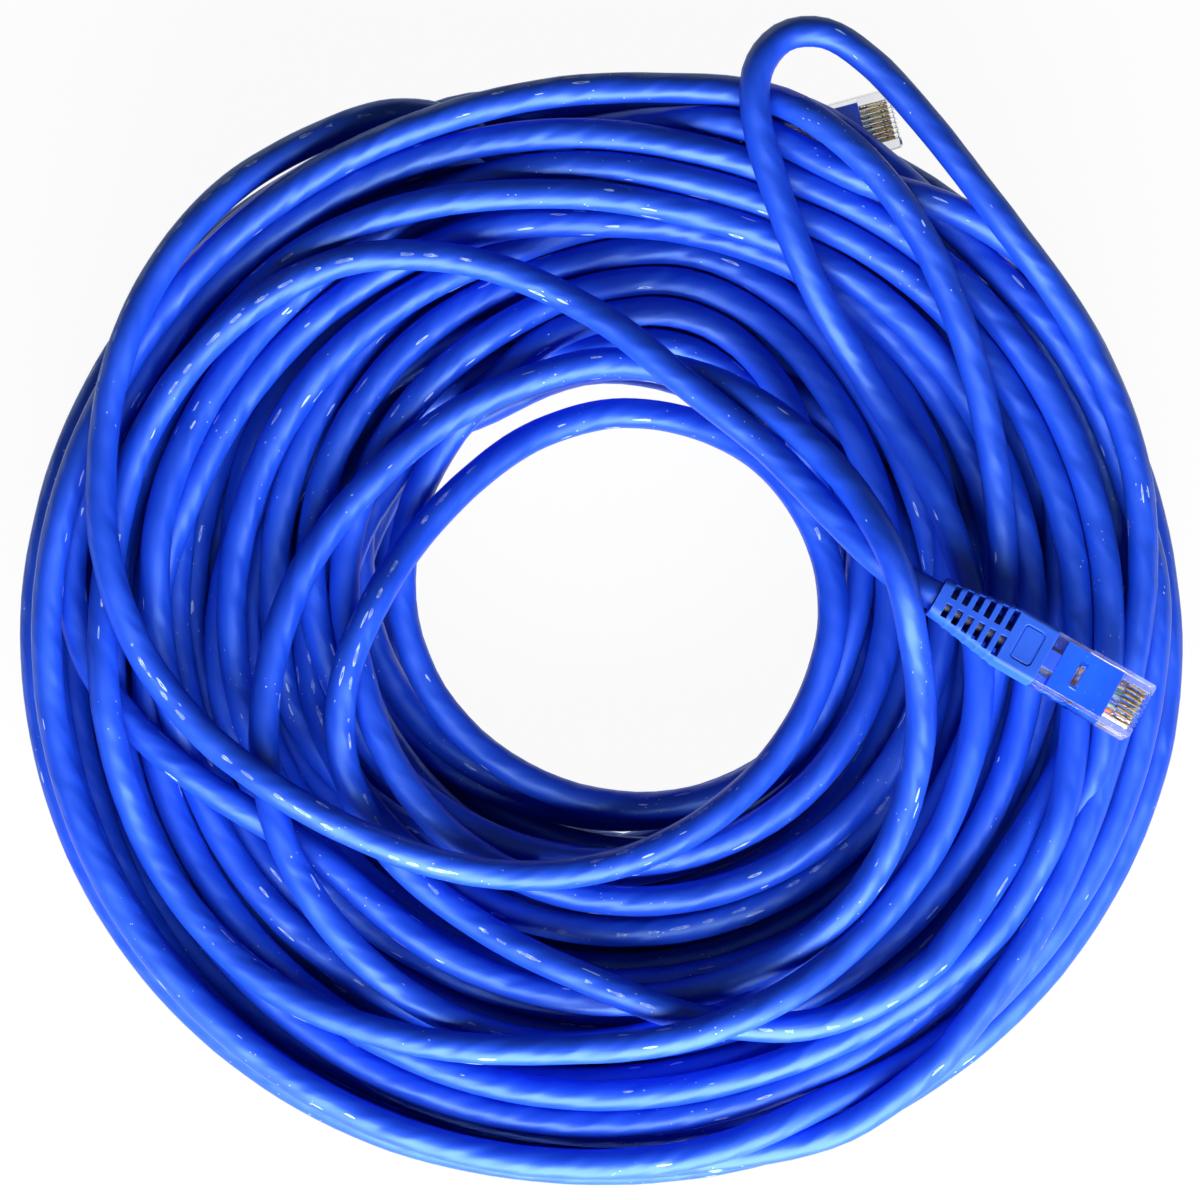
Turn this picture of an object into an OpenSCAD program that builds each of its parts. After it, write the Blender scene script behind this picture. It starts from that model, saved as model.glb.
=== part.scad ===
// Ethernet patch cable, 30 m of 6 mm four-pair cord in a loose coil, with a
// snagless modular plug on each end.  Millimetres, +Z up, the coil lies on z = 0.

/* [Cord] */
// Outside diameter of the round cord
cord_d = 6; // [5.6:0.1:6.2]
// Wall of the cord's jacket
jacket_wall = 0.55; // [0.5:0.05:0.6]
// Diameter of one insulated wire
wire_d = 0.9; // [0.7:0.02:0.92]
// Thickness of the cross-shaped separator between the pairs
separator_t = 0.35; // [0.2:0.05:0.4]

/* [Coil] */
// Mean radius of the coil's outside
coil_outer_r = 112.5; // [108:0.5:125]
// How much flatter the far side of the coil is than the near side
outer_flat = 2.5; // [0:0.1:4]
// How much wider than deep the coil's outside is
outer_oval = 2.5; // [0:0.1:4]
// Mean radius of the hole
hole_r = 41; // [36:0.5:43]
// How far the hole sits off the coil's centre
hole_shift = 7; // [0:0.5:8]
// Direction in which the hole sits off centre, in degrees
hole_angle = 50; // [0:5:355]
// Height of the coil above its rest
coil_h = 43; // [41:0.5:55]
// Loops that show on the outside of the coil
coil_loops = 20; // [8:1:20]
// How far the coil sinks under the low plug
dip_depth = 13; // [11:0.5:14]
// Direction of the low plug's dip, in degrees
dip_angle = 70; // [40:1:100]
// Spread of the dip, in degrees
dip_spread = 34; // [30:1:40]
// Direction in which both ends of the winding come up, in degrees
seam_angle = 340; // [330:1:345]
// Space kept between the winding's two ends, as a share of a loop's room
seam_share = 0.8; // [0.8:0.05:1]
// Space between the winding and the turns hidden under it
core_gap = 0.4; // [0.3:0.05:1]

/* [Plug body] */
// Length of the clear housing
plug_l = 21.46; // [20:0.02:23]
// Width of the clear housing
plug_w = 11.68; // [11.4:0.02:12]
// Height of the clear housing without its latch
plug_h = 6.6; // [6.5:0.05:7.2]
// Radius of the corners at the nose
nose_r = 0.7; // [0.3:0.1:1.2]
// Length of the hollow that the cord and the moulding fill
hollow_l = 14.9; // [14.5:0.1:15.2]
// Thickness of the side walls
side_wall = 0.84; // [0.6:0.02:0.95]
// Thickness of the walls above and below the hollow
flat_wall = 0.6; // [0.5:0.05:0.65]
// Length of the small window in the contact side
window_l = 1.3; // [1:0.1:1.3]
// Width of the small window in the contact side
window_w = 4.4; // [2:0.2:6]

/* [Contacts] */
// Number of contacts and of wires
contact_count = 8; // [8]
// Distance between neighbouring contacts
contact_pitch = 1.02; // [0.96:0.01:1.04]
// Thickness of one contact blade
contact_t = 0.35; // [0.25:0.01:0.4]
// Length of one contact blade
contact_l = 4; // [3.4:0.1:4.2]
// How far the blades' edges lie below the housing's contact side
contact_recess = 0.5; // [0.3:0.05:0.7]
// Height of a blade above its two tines
contact_body_h = 2.5; // [2.2:0.1:2.8]
// Distance from the nose's face to the blades
contact_setback = 0.9; // [0.8:0.05:1.1]
// Width of one piercing tine, measured along the plug
tine_w = 0.8; // [0.5:0.05:1]

/* [Latch] */
// Distance from the nose's face to the latch's hinge line
latch_setback = 1.56; // [1.4:0.02:2]
// Length of the latch arm
latch_l = 15.2; // [14:0.1:15.6]
// Thickness of the latch arm
latch_t = 1; // [0.8:0.05:1.2]
// Angle between the latch and the housing at rest
latch_rest = 11; // [10:0.5:12]
// Width of the latch at its locking shoulders
latch_wide = 6.2; // [5.8:0.1:6.4]
// Length of the wide part, from hinge to shoulders
latch_wide_l = 7.4; // [6.5:0.1:8.5]
// Width of the latch's thumb tab
latch_tab_w = 3.2; // [2.8:0.1:4]
// Radius of the latch's rounded root
latch_root_r = 0.55; // [0.4:0.05:0.6]

/* [Boot] */
// Length of the boot behind the housing
boot_l = 24; // [23:0.1:26]
// Length of the boot's plain collar
collar_l = 8.5; // [8.5:0.1:9]
// Height of the collar
collar_h = 8.2; // [7.8:0.1:8.4]
// Width of the boot at its tail
tail_w = 7.6; // [7.4:0.1:8.4]
// Height of the boot at its tail
tail_h = 7.4; // [7.3:0.1:7.6]
// Length of the straight lip at the boot's tail
tail_lip_l = 0.8; // [0.5:0.1:1]
// Radius of the boot's long edges
boot_corner_r = 1.2; // [0.8:0.1:1.6]
// Slots on each side of the boot's spine
slot_count = 6; // [4:1:6]
// Width of one slot, measured along the boot
slot_w = 1.25; // [0.8:0.05:1.3]
// Plain length between the last slot and the boot's tail
tail_plain_l = 1.1; // [0.9:0.1:2]
// Width of the spine between the two rows of slots
spine_w = 1.3; // [1:0.1:1.8]
// Thickness of the rail outside each row of slots
rail_t = 0.7; // [0.5:0.05:0.9]
// Length of the blank panel on the collar
panel_l = 4.6; // [3:0.1:5.5]
// Width of the blank panel on the collar
panel_w = 7.4; // [5:0.1:9]
// Depth of the blank panel
panel_depth = 0.25; // [0.1:0.05:0.35]
// Width of the hood that guards the latch
hood_w = 8.4; // [7:0.1:9.5]
// Thickness of the hood's tongue
hood_t = 1.2; // [0.8:0.05:1.2]
// How far the hood reaches along the housing
hood_reach = 6.3; // [5.8:0.1:7]
// Thickness of the web that carries the hood
hood_web_l = 3.5; // [2:0.1:4]

/* [Moulding inside the plug] */
// Gap between the boot and the moulding's rear band
band_gap = 2.6; // [2:0.1:3]
// Length of the moulding's rear band
band_l = 3.8; // [3:0.1:3.8]
// Length of the moulding's front block
block_l = 7.1; // [6.8:0.1:7.1]
// Height of the jacket where the moulding presses it flat
pressed_h = 4.8; // [4.6:0.05:4.9]
// Length of the wire guide
guide_l = 4.4; // [3.5:0.1:4.5]
// Thickness of the wire guide above and below its slot
guide_wall = 0.25; // [0.2:0.05:0.3]

/* [Clearances] */
// Gap between pieces that are moulded or pressed together
fit_gap = 0.05; // [0.03:0.01:0.06]
// Gap on each side of a contact blade in its slot
blade_gap = 0.06; // [0.04:0.01:0.08]
// Gap between the latch and what it moves past
latch_gap = 0.3; // [0.2:0.05:0.4]

/* [Placing] */
// Middle of the ring, measured from the middle of the whole object
ring_shift = [-0.2, -2.5, 0];
// Rear of the upper plug's housing, on its axis
plug_a_at = [85.7, -7.3, 54];
// Heading of the upper plug, in degrees
plug_a_yaw = -30; // [-31:1:-29]
// Lean of the upper plug about its own axis, in degrees
plug_a_roll = -8; // [-10:1:0]
// Rear of the lower plug's housing, on its axis
plug_b_at = [37.1, 93.1, 39.8];
// Heading of the lower plug, in degrees
plug_b_yaw = 15; // [14:1:16]
// Lean of the lower plug about its own axis, in degrees
plug_b_roll = 8; // [0:1:9]

/* [Hidden] */
$fn = 32;

// Colours
cord_blue = [0.07, 0.20, 0.86];
boot_blue = [0.18, 0.40, 0.88];
clear_plastic = [0.80, 0.86, 0.92, 0.45];
gold = [0.83, 0.66, 0.28];
wire_colours = [
  [0.95, 0.70, 0.45], [0.93, 0.45, 0.10], [0.65, 0.88, 0.65], [0.15, 0.35, 0.85],
  [0.65, 0.75, 0.95], [0.12, 0.60, 0.25], [0.80, 0.68, 0.58], [0.45, 0.27, 0.14]
];

// Counts of rings and sides
loop_rings = 24;
loop_sides = 6;
lead_sides = 8;
wire_sides = 6;
core_sides = 20;

cord_r = cord_d / 2;
// A six-sided cord is flat underneath, and is cut a tenth of its diameter flatter
loop_flat_r = cord_r * cos(180 / loop_sides);
floor_cut = cord_d / 10;
floor_z = loop_flat_r - floor_cut;

// Routes of the two leads between plug and coil, measured from the ring's middle.
// Each starts one step behind its plug and ends one step before the winding.
route_a = [
  [56.2, 9.8, 53.8], [45, 20.5, 52], [33, 33, 49.5], [17.5, 45.5, 47.5], [-2, 60.5, 46.8],
  [-25, 70, 46.6], [-50, 70, 46.6], [-73, 57, 46.6], [-89.5, 35, 46.6], [-96.5, 6, 46.6],
  [-95, -24, 46.6], [-84.5, -51, 46.6], [-64.5, -71.5, 46.6], [-38, -81.5, 47],
  [-9, -83.5, 49.5], [20, -79.5, 53.2], [46, -66, 51], [65, -44, 47], [73.5, -18.5, 46.5],
  [72.3, 4, 46.5], [66, 24.5, 47], [53, 46, 48.5], [41.5, 65, 50.5], [33.5, 85, 52.6],
  [30, 99, 53.5], [30.6, 107, 53.5], [35.5, 113, 52.5], [43.5, 114, 51.5], [52.5, 108.5, 51],
  [64, 96, 51.5], [78, 78, 49], [93.5, 57, 45], [104.5, 31, 42.5], [106.3, 6, 41.8],
  [102.3, -13, 40.8]
];
route_b = [
  [4.3, 84.4, 39.7], [-7, 84.5, 40.2], [-17.5, 91, 41.7], [-28, 99.5, 44], [-41, 99.5, 46.2],
  [-56, 94.5, 47], [-71.5, 85, 47], [-84.5, 70, 47.8], [-93, 52, 49.8], [-96.5, 33, 52.4],
  [-96, 14, 53.4], [-90, -4.5, 52.4], [-78.5, -20.5, 50.5], [-62.5, -33, 51], [-46, -42, 53],
  [-29, -48, 51.5], [-12, -49.8, 49], [4.5, -47.3, 47.2], [20, -40, 45], [32, -28.5, 42],
  [40, -14, 39.5], [43, 2, 37], [40.5, 18, 35], [31, 31, 33.5], [17, 37.8, 32.5],
  [1.5, 38.3, 32], [-13, 33.8, 32.5], [-25.5, 26, 34.5], [-36, 15.5, 39], [-44.5, 2.5, 44],
  [-50, -12, 46.6], [-50, -28.5, 46.6], [-41.5, -45, 46.6], [-24, -59.5, 46.6],
  [-2.5, -70, 46.6], [21, -78, 46.6], [45, -78, 46.6], [68, -64, 45.5]
];

// ---------- geometry helpers ----------

function unit(v) = v / norm(v);
function wrap(a) = let (b = a - 360 * floor(a / 360)) b > 180 ? b - 360 : b;

// One ring of a round tube at p, square to direction d
function ring(p, d, r, sides) =
  let (side = unit(cross(d, [0, 0, 1])), up = cross(side, unit(d)))
  [for (k = [0 : sides - 1]) p + r * (cos(360 * k / sides) * side + sin(360 * k / sides) * up)];

// Direction of a line of points at point i, with the given first and last directions
function heading(points, i, first, last) =
  i == 0 ? first : i == len(points) - 1 ? last : unit(points[i + 1] - points[i - 1]);

// A closed tube through the points
module tube(points, first, last, r, sides) {
  count = len(points);
  rings = [for (i = [0 : count - 1]) each ring(points[i], heading(points, i, first, last), r, sides)];
  walls = [for (i = [0 : count - 2]) for (k = [0 : sides - 1])
    let (n = (k + 1) % sides, a = i * sides + k, b = i * sides + n, c = a + sides, d = b + sides)
    each [[a, b, c], [b, d, c]]];
  near_cap = [for (k = [1 : sides - 2]) [0, k + 1, k]];
  far = (count - 1) * sides;
  far_cap = [for (k = [1 : sides - 2]) [far, far + k, far + k + 1]];
  polyhedron(points = rings, faces = concat(walls, near_cap, far_cap), convexity = 10);
}

// ---------- the coil ----------

function dip(a) = dip_depth * exp(-pow(wrap(a - dip_angle) / dip_spread, 2));
function outer_r(a) = coil_outer_r - outer_flat * sin(a) + outer_oval * cos(2 * a);
function inner_r(a) = hole_r + hole_shift * cos(a - hole_angle);
function middle_r(a) = (outer_r(a) + inner_r(a)) / 2;
function half_w(a) = (outer_r(a) - inner_r(a)) / 2 - cord_r;
function half_h(a) = (coil_h - dip(a) - loop_flat_r - floor_z) / 2;

// A point on a slot shape of half width w and half height h, at the share s of its
// outline, which starts at the outer end of the top and runs inwards
function outline(s, w, h) =
  let (k = w - h, bend = PI * h, d = (s - floor(s)) * (4 * k + 2 * bend))
  d < 2 * k ? [k - d, h] :
  d < 2 * k + bend ? let (a = 90 + (d - 2 * k) / bend * 180) [-k + h * cos(a), h * sin(a)] :
  d < 4 * k + bend ? [d - 3 * k - bend, -h] :
  let (a = -90 + (d - 4 * k - bend) / bend * 180) [k + h * cos(a), h * sin(a)];

// The middle of the wound cord after t turns from the seam
function turn_point(t) =
  let (a = seam_angle + 360 * t,
       p = outline(t / (coil_loops + seam_share), half_w(a), half_h(a)),
       r = middle_r(a) + p[0])
  [r * cos(a), r * sin(a), floor_z + half_h(a) + p[1]];

function turn_heading(t) = unit(turn_point(t + 0.001) - turn_point(t - 0.001));

wound_steps = coil_loops * loop_rings;
wound = [for (i = [0 : wound_steps]) turn_point(i / loop_rings)];
wind_in = turn_heading(0);
wind_out = turn_heading(coil_loops);
// Both ends run straight for one cord diameter
coil_start = wound[0] - cord_d * wind_in;
coil_end = wound[wound_steps] + cord_d * wind_out;
winding = concat([coil_start], wound, [coil_end]);

// The least gap between one turn of the winding and another
turn_gaps = [for (i = [0 : wound_steps]) for (j = [i + loop_rings / 2 : wound_steps])
  norm(wound[i] - wound[j]) - cord_d];
echo(least_gap_between_turns = min(turn_gaps));

module coil_turns() {
  color(cord_blue)
    difference() {
      tube(winding, wind_in, wind_out, cord_r, loop_sides);
      translate([-coil_outer_r * 2, -coil_outer_r * 2, -cord_d])
        cube([coil_outer_r * 4, coil_outer_r * 4, cord_d]);
    }
}

// The turns that the winding hides, as one plain body of the same bent section
module coil_core() {
  inset = cord_r + core_gap;
  rings = [for (i = [0 : loop_rings - 1]) let (a = seam_angle + 360 * i / loop_rings)
    for (k = [0 : core_sides - 1])
      let (p = outline(k / core_sides, half_w(a) - inset, half_h(a) - inset),
           r = middle_r(a) + p[0])
      [r * cos(a), r * sin(a), floor_z + half_h(a) + p[1]]];
  walls = [for (i = [0 : loop_rings - 1]) for (k = [0 : core_sides - 1])
    let (m = (i + 1) % loop_rings, n = (k + 1) % core_sides,
         a = i * core_sides + k, b = i * core_sides + n,
         c = m * core_sides + k, d = m * core_sides + n)
    each [[a, b, c], [b, d, c]]];
  color(cord_blue)
    polyhedron(points = rings, faces = walls, convexity = 10);
}

// ---------- one plug, in its own frame ----------
// x runs from the rear of the housing to the nose, the contacts face +z, and the
// cord's axis is y = z = 0.

half_h_plug = plug_h / 2;
hollow_w = plug_w - 2 * side_wall;
hollow_h = plug_h - 2 * flat_wall;
bore_r = cord_r - jacket_wall;

// Wires: one flat row under the contacts, two rows of four in the jacket
row_z = -0.9;
row_half_w = (contact_count - 1) / 2 * contact_pitch + wire_d / 2;
pair_z = separator_t / 2 + wire_d / 2 + fit_gap;
pair_inner_y = pair_z;
pair_outer_y = pair_inner_y + wire_d + fit_gap;
wire_end_x = plug_l - contact_setback - fit_gap;
fan_x = 8.4;
guide_x = hollow_l - 2 * fit_gap - guide_l;
jacket_end_x = band_gap + band_l - 4 * fit_gap;

contact_front_x = plug_l - contact_setback;
contact_back_x = contact_front_x - contact_l;
contact_top_z = half_h_plug - contact_recess;
tine_top_z = contact_top_z - contact_body_h;
tine_tip_z = row_z - wire_d / 4;

hinge_x = plug_l - latch_setback;
hinge_z = -half_h_plug;
latch_low_z = hinge_z - latch_l * sin(latch_rest) - latch_t * cos(latch_rest);
hood_in_z = latch_low_z - latch_gap;
hood_out_z = hood_in_z - hood_t;
slot_pitch = (boot_l - collar_l - tail_plain_l) / slot_count;

// Across the plug, where contact or wire i lies
function lane_y(i) = (i - (contact_count - 1) / 2) * contact_pitch;

module housing() {
  color(clear_plastic)
    difference() {
      translate([0, 0, -half_h_plug])
        linear_extrude(plug_h) {
          translate([0, -plug_w / 2])
            square([plug_l - nose_r, plug_w]);
          translate([0, -plug_w / 2 + nose_r])
            square([plug_l, plug_w - 2 * nose_r]);
          for (side = [-1, 1])
            translate([plug_l - nose_r, side * (plug_w / 2 - nose_r)])
              circle(nose_r);
        }
      // hollow for the cord and the moulding
      translate([-1, -hollow_w / 2, -hollow_h / 2])
        cube([hollow_l + 1, hollow_w, hollow_h]);
      // channel for the row of wires
      translate([hollow_l - 1, -row_half_w - fit_gap, row_z - wire_d / 2 - fit_gap])
        cube([wire_end_x + fit_gap - hollow_l + 1, 2 * (row_half_w + fit_gap), wire_d + 2 * fit_gap]);
      for (i = [0 : contact_count - 1])
        translate([0, lane_y(i) - contact_t / 2 - blade_gap, 0]) {
          // slot down to the wire
          translate([contact_back_x - blade_gap, 0, row_z])
            cube([contact_l + 2 * blade_gap, contact_t + 2 * blade_gap, plug_h]);
          // open end of the slot in the nose
          translate([contact_front_x - 1, 0, contact_top_z - contact_body_h / 2])
            cube([contact_setback + 2, contact_t + 2 * blade_gap, plug_h]);
        }
      // small window over the end of the jacket
      translate([band_gap + band_l, -window_w / 2, 0])
        cube([window_l, window_w, plug_h]);
      // round seat of the latch's root
      translate([hinge_x, 0, hinge_z])
        rotate([90, 0, 0])
          cylinder(r = latch_root_r + latch_gap / 2, h = latch_wide + latch_gap, center = true);
    }
}

module latch() {
  color(clear_plastic)
    translate([hinge_x, 0, hinge_z]) {
      rotate([90, 0, 0])
        cylinder(r = latch_root_r, h = latch_wide, center = true);
      rotate([0, -latch_rest, 0]) {
        translate([-latch_wide_l, -latch_wide / 2, -latch_t])
          cube([latch_wide_l, latch_wide, latch_t]);
        translate([-latch_l, -latch_tab_w / 2, -latch_t])
          cube([latch_l, latch_tab_w, latch_t]);
      }
    }
}

// One blade with its two piercing tines
module contact(i) {
  color(gold)
    translate([0, lane_y(i) + contact_t / 2, 0])
      rotate([90, 0, 0])
        linear_extrude(contact_t) {
          translate([contact_back_x, tine_top_z])
            square([contact_l, contact_body_h]);
          for (x = [contact_back_x + tine_w / 2, contact_front_x - tine_w * 3 / 2])
            translate([x, tine_tip_z])
              square([tine_w, tine_top_z - tine_tip_z + fit_gap]);
        }
}

module wire(i) {
  outer = i < 2 || i > contact_count - 3;
  pair_y = outer
    ? (i == 0 || i == contact_count - 1 ? pair_outer_y : pair_inner_y)
    : (i == 2 || i == contact_count - 3 ? pair_outer_y : pair_inner_y);
  across = sign(lane_y(i)) * pair_y;
  level = outer ? pair_z : -pair_z;
  bend = 0.5;
  points = [
    [wire_end_x, lane_y(i), row_z],
    [guide_x - fit_gap, lane_y(i), row_z],
    [fan_x + bend, lane_y(i), level],
    [fan_x - bend, lane_y(i) + (across - lane_y(i)) / 6, level],
    [jacket_end_x, across, level],
    [-boot_l, across, level]
  ];
  color(wire_colours[i])
    difference() {
      tube(points, [-1, 0, 0], [-1, 0, 0], wire_d / 2, wire_sides);
      for (x = [contact_back_x + tine_w / 2, contact_front_x - tine_w * 3 / 2])
        translate([x - blade_gap, lane_y(i) - contact_t / 2 - blade_gap, tine_tip_z - blade_gap])
          cube([tine_w + 2 * blade_gap, contact_t + 2 * blade_gap, wire_d * 2]);
    }
}

// Thin guide that keeps the wires in one row
module wire_guide() {
  half_slot = wire_d / 2 + fit_gap;
  color(clear_plastic)
    translate([guide_x, 0, row_z])
      difference() {
        translate([0, -row_half_w - fit_gap - guide_wall, -half_slot - guide_wall])
          cube([guide_l, 2 * (row_half_w + fit_gap + guide_wall), 2 * (half_slot + guide_wall)]);
        translate([-1, -row_half_w - fit_gap, -half_slot])
          cube([guide_l + 2, 2 * (row_half_w + fit_gap), 2 * half_slot]);
      }
}

// Section of the jacket where the moulding presses it flat
module pressed_rod(x0, length, r, height) {
  intersection() {
    translate([x0, 0, 0])
      rotate([0, 90, 0])
        cylinder(r = r, h = length);
    translate([x0 - 1, -r * 2, -height / 2])
      cube([length + 2, r * 4, height]);
  }
}

module jacket_end() {
  pressed_wall = jacket_wall * 0.8;
  color(cord_blue)
    difference() {
      union() {
        translate([-boot_l, 0, 0])
          rotate([0, 90, 0])
            cylinder(r = cord_r, h = boot_l);
        pressed_rod(-1, jacket_end_x + 1, cord_r, pressed_h);
      }
      translate([-boot_l - 1, 0, 0])
        rotate([0, 90, 0])
          cylinder(r = bore_r, h = boot_l + 1);
      pressed_rod(-1, jacket_end_x + 2, bore_r, pressed_h - 2 * pressed_wall);
    }
}

// Plastic cross that keeps the four pairs apart
module separator() {
  half_z = pressed_h / 2 - jacket_wall;
  half_y = bore_r - 2 * fit_gap;
  length = boot_l + jacket_end_x - 1;
  color("white")
    translate([-boot_l, 0, 0]) {
      translate([0, -separator_t / 2, -half_z])
        cube([length, separator_t, 2 * half_z]);
      translate([0, -half_y, -separator_t / 2])
        cube([length, 2 * half_y, separator_t]);
    }
}

// Soft plastic shot into the housing round the jacket and over the wires
module inner_mould() {
  w = hollow_w - 2 * fit_gap;
  h = hollow_h - 2 * fit_gap;
  block_x = hollow_l - fit_gap - block_l;
  cover_z = pair_z + wire_d / 2 + 2 * fit_gap;
  cheek_w = w / 2 - row_half_w - 3 * fit_gap - guide_wall;
  color(boot_blue)
    difference() {
      union() {
        translate([band_gap, -w / 2, -h / 2])
          cube([band_l, w, h]);
        translate([block_x, -w / 2, cover_z])
          cube([block_l, w, h / 2 - cover_z]);
        for (side = [0, 1])
          mirror([0, side, 0]) {
            translate([band_gap + band_l - 1, w / 2 - cheek_w, -h / 2])
              cube([block_l + block_x - band_gap - band_l + 1, cheek_w, h]);
            // bridge beside the small window
            translate([band_gap + band_l - 1, window_w / 2, cover_z])
              cube([block_x - band_gap - band_l + 2, w / 2 - window_w / 2, h / 2 - cover_z]);
          }
      }
      pressed_rod(0, band_gap + band_l + 1, cord_r + fit_gap, pressed_h + 2 * fit_gap);
    }
}

// An upright slab across the boot, with rounded corners
module boot_slab(x, length, w, h) {
  translate([x, 0, 0])
    rotate([90, 0, 90])
      linear_extrude(length)
        union() {
          square([w, h - 2 * boot_corner_r], center = true);
          square([w - 2 * boot_corner_r, h], center = true);
          for (y = [-1, 1])
            for (z = [-1, 1])
              translate([y * (w / 2 - boot_corner_r), z * (h / 2 - boot_corner_r)])
                circle(boot_corner_r);
        }
}

function boot_half_w(x) =
  (tail_w + (plug_w - tail_w) * max(0, min(1, (x + boot_l) / (boot_l - collar_l)))) / 2;

module boot() {
  hood_root_x = -collar_l;
  panel_x = -collar_l / 2 - panel_l / 2;
  color(boot_blue)
    difference() {
      union() {
        boot_slab(-collar_l, collar_l, plug_w, collar_h);
        hull() {
          boot_slab(-boot_l, tail_lip_l, tail_w, tail_h);
          boot_slab(-collar_l, tail_lip_l, plug_w, collar_h);
        }
        // hood over the end of the latch
        translate([0, hood_w / 2, 0])
          rotate([90, 0, 0])
            linear_extrude(hood_w)
              polygon([
                [hood_root_x, -collar_h / 2 + 0.4],
                [hood_root_x + 4, hood_out_z],
                [hood_reach, hood_out_z],
                [hood_reach, hood_in_z],
                [hood_root_x + 4 + hood_web_l, hood_in_z],
                [hood_root_x + 4 + hood_web_l, -collar_h / 2 + 0.4]
              ]);
      }
      translate([-boot_l - 1, 0, 0])
        rotate([0, 90, 0])
          cylinder(r = cord_r + fit_gap, h = boot_l + 2);
      // slots on both sides of the spine
      for (s = [0 : slot_count - 1])
        for (side = [0, 1])
          mirror([0, side, 0])
            let (x = -collar_l - slot_w - s * slot_pitch)
              translate([x, spine_w / 2, -collar_h])
                cube([slot_w, boot_half_w(x) - rail_t - spine_w / 2, 2 * collar_h]);
      // blank panel
      translate([panel_x, -panel_w / 2, collar_h / 2 - panel_depth])
        cube([panel_l, panel_w, 1]);
    }
}

// ---------- placing ----------

module at_ring() {
  translate(ring_shift)
    children();
}

module at_plug_a() {
  at_ring()
    translate(plug_a_at)
      rotate([plug_a_roll, 0, plug_a_yaw])
        children();
}

module at_plug_b() {
  at_ring()
    translate(plug_b_at)
      rotate([plug_b_roll, 0, plug_b_yaw])
        children();
}

function forward(yaw) = [cos(yaw), sin(yaw), 0];

// A lead from the rear of a boot along its route to one end of the winding
module lead(plug_at, yaw, route, coil_point, last) {
  tail = plug_at - boot_l * forward(yaw);
  color(cord_blue)
    tube(concat([tail], route, [coil_point]), -forward(yaw), last, cord_r, lead_sides);
}

at_ring() coil_turns();
at_ring() coil_core();
at_ring() lead(plug_a_at, plug_a_yaw, route_a, coil_end, -wind_out);  // lead_a
at_ring() lead(plug_b_at, plug_b_yaw, route_b, coil_start, wind_in);  // lead_b
at_plug_a() housing();  // housing_a
at_plug_a() latch();  // latch_a
at_plug_a() boot();  // boot_a
at_plug_a() inner_mould();  // inner_mould_a
at_plug_a() jacket_end();  // jacket_end_a
at_plug_a() separator();  // separator_a
at_plug_a() wire_guide();  // wire_guide_a
at_plug_b() housing();  // housing_b
at_plug_b() latch();  // latch_b
at_plug_b() boot();  // boot_b
at_plug_b() inner_mould();  // inner_mould_b
at_plug_b() jacket_end();  // jacket_end_b
at_plug_b() separator();  // separator_b
at_plug_b() wire_guide();  // wire_guide_b
for (i = [0 : contact_count - 1]) {
  at_plug_a() contact(i);
  at_plug_a() wire(i);
  at_plug_b() contact(i);
  at_plug_b() wire(i);
}
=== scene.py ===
# %% [markdown]
# # A long ethernet patch cable, coiled by hand
#
# Thirty metres of round four-pair cord lie in a loose ring, with a clear
# modular plug in a blue boot on each end. This lesson dresses the solids of
# that cable: it lays the cord strand by strand, moulds the plugs and their
# boots, and gives each plastic and metal its own finish.
#
# The solids come from a frame that is never moved. Every piece made here says
# which body of that frame it moves with, and which solids it stands for.

# %% Load the frame
import math
from functools import partial

import bmesh
import bpy
import numpy as np
from mathutils import Matrix, Vector


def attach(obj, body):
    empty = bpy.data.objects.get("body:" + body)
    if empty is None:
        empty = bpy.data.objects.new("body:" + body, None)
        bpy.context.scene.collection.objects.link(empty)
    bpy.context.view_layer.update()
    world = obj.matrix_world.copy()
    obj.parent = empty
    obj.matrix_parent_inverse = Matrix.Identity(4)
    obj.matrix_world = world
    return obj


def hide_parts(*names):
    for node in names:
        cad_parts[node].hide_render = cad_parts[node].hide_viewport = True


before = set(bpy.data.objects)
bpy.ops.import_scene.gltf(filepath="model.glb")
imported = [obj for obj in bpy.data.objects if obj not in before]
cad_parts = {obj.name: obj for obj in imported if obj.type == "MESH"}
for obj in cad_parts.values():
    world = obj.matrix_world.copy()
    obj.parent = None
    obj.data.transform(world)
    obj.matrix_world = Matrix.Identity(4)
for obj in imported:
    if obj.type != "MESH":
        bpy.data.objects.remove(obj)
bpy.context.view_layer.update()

# %% [markdown]
# ## Looking straight down
#
# The cable lies flat on a table and is seen from above, so the camera hangs
# over the middle of the ring and looks straight down. It hangs less than a
# metre up: strands on top of the pile then look a little larger than the ones
# below, which a flat, far view would lose. The lens is given in millimetres on
# a 36 mm sensor. Blender's camera looks along its own -Z, so no turn is needed.

# %% Camera
RING_MIDDLE = np.array([-0.0002, -0.0025, 0.0])
CAMERA_FORWARD, CAMERA_HEIGHT = 0.004, 0.933
CAMERA_LENS, SENSOR = 136.5, 36.0

camera_data = bpy.data.cameras.new("camera")
camera_data.lens, camera_data.sensor_width = CAMERA_LENS, SENSOR
camera = bpy.data.objects.new("camera", camera_data)
camera.location = (RING_MIDDLE[0], RING_MIDDLE[1] + CAMERA_FORWARD, CAMERA_HEIGHT)
bpy.context.scene.collection.objects.link(camera)
bpy.context.scene.camera = camera
print("camera at", [round(x, 4) for x in camera.location])

# %% [markdown]
# ## The cord's facts
#
# A cord has a fixed length and a fixed thickness, so these come before its
# shape. This one is 6 mm thick, about as stiff as four twisted pairs in PVC
# are, and 30 m long. Nearly all of it is wound; only about 1.5 m shows as two
# long leads that wander over the pile before they reach their plugs.
#
# All the work on the cord's line is done in millimetres from the ring's
# middle, because those numbers are easy to picture, and turned into metres in
# the object's own frame at the end.

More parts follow.
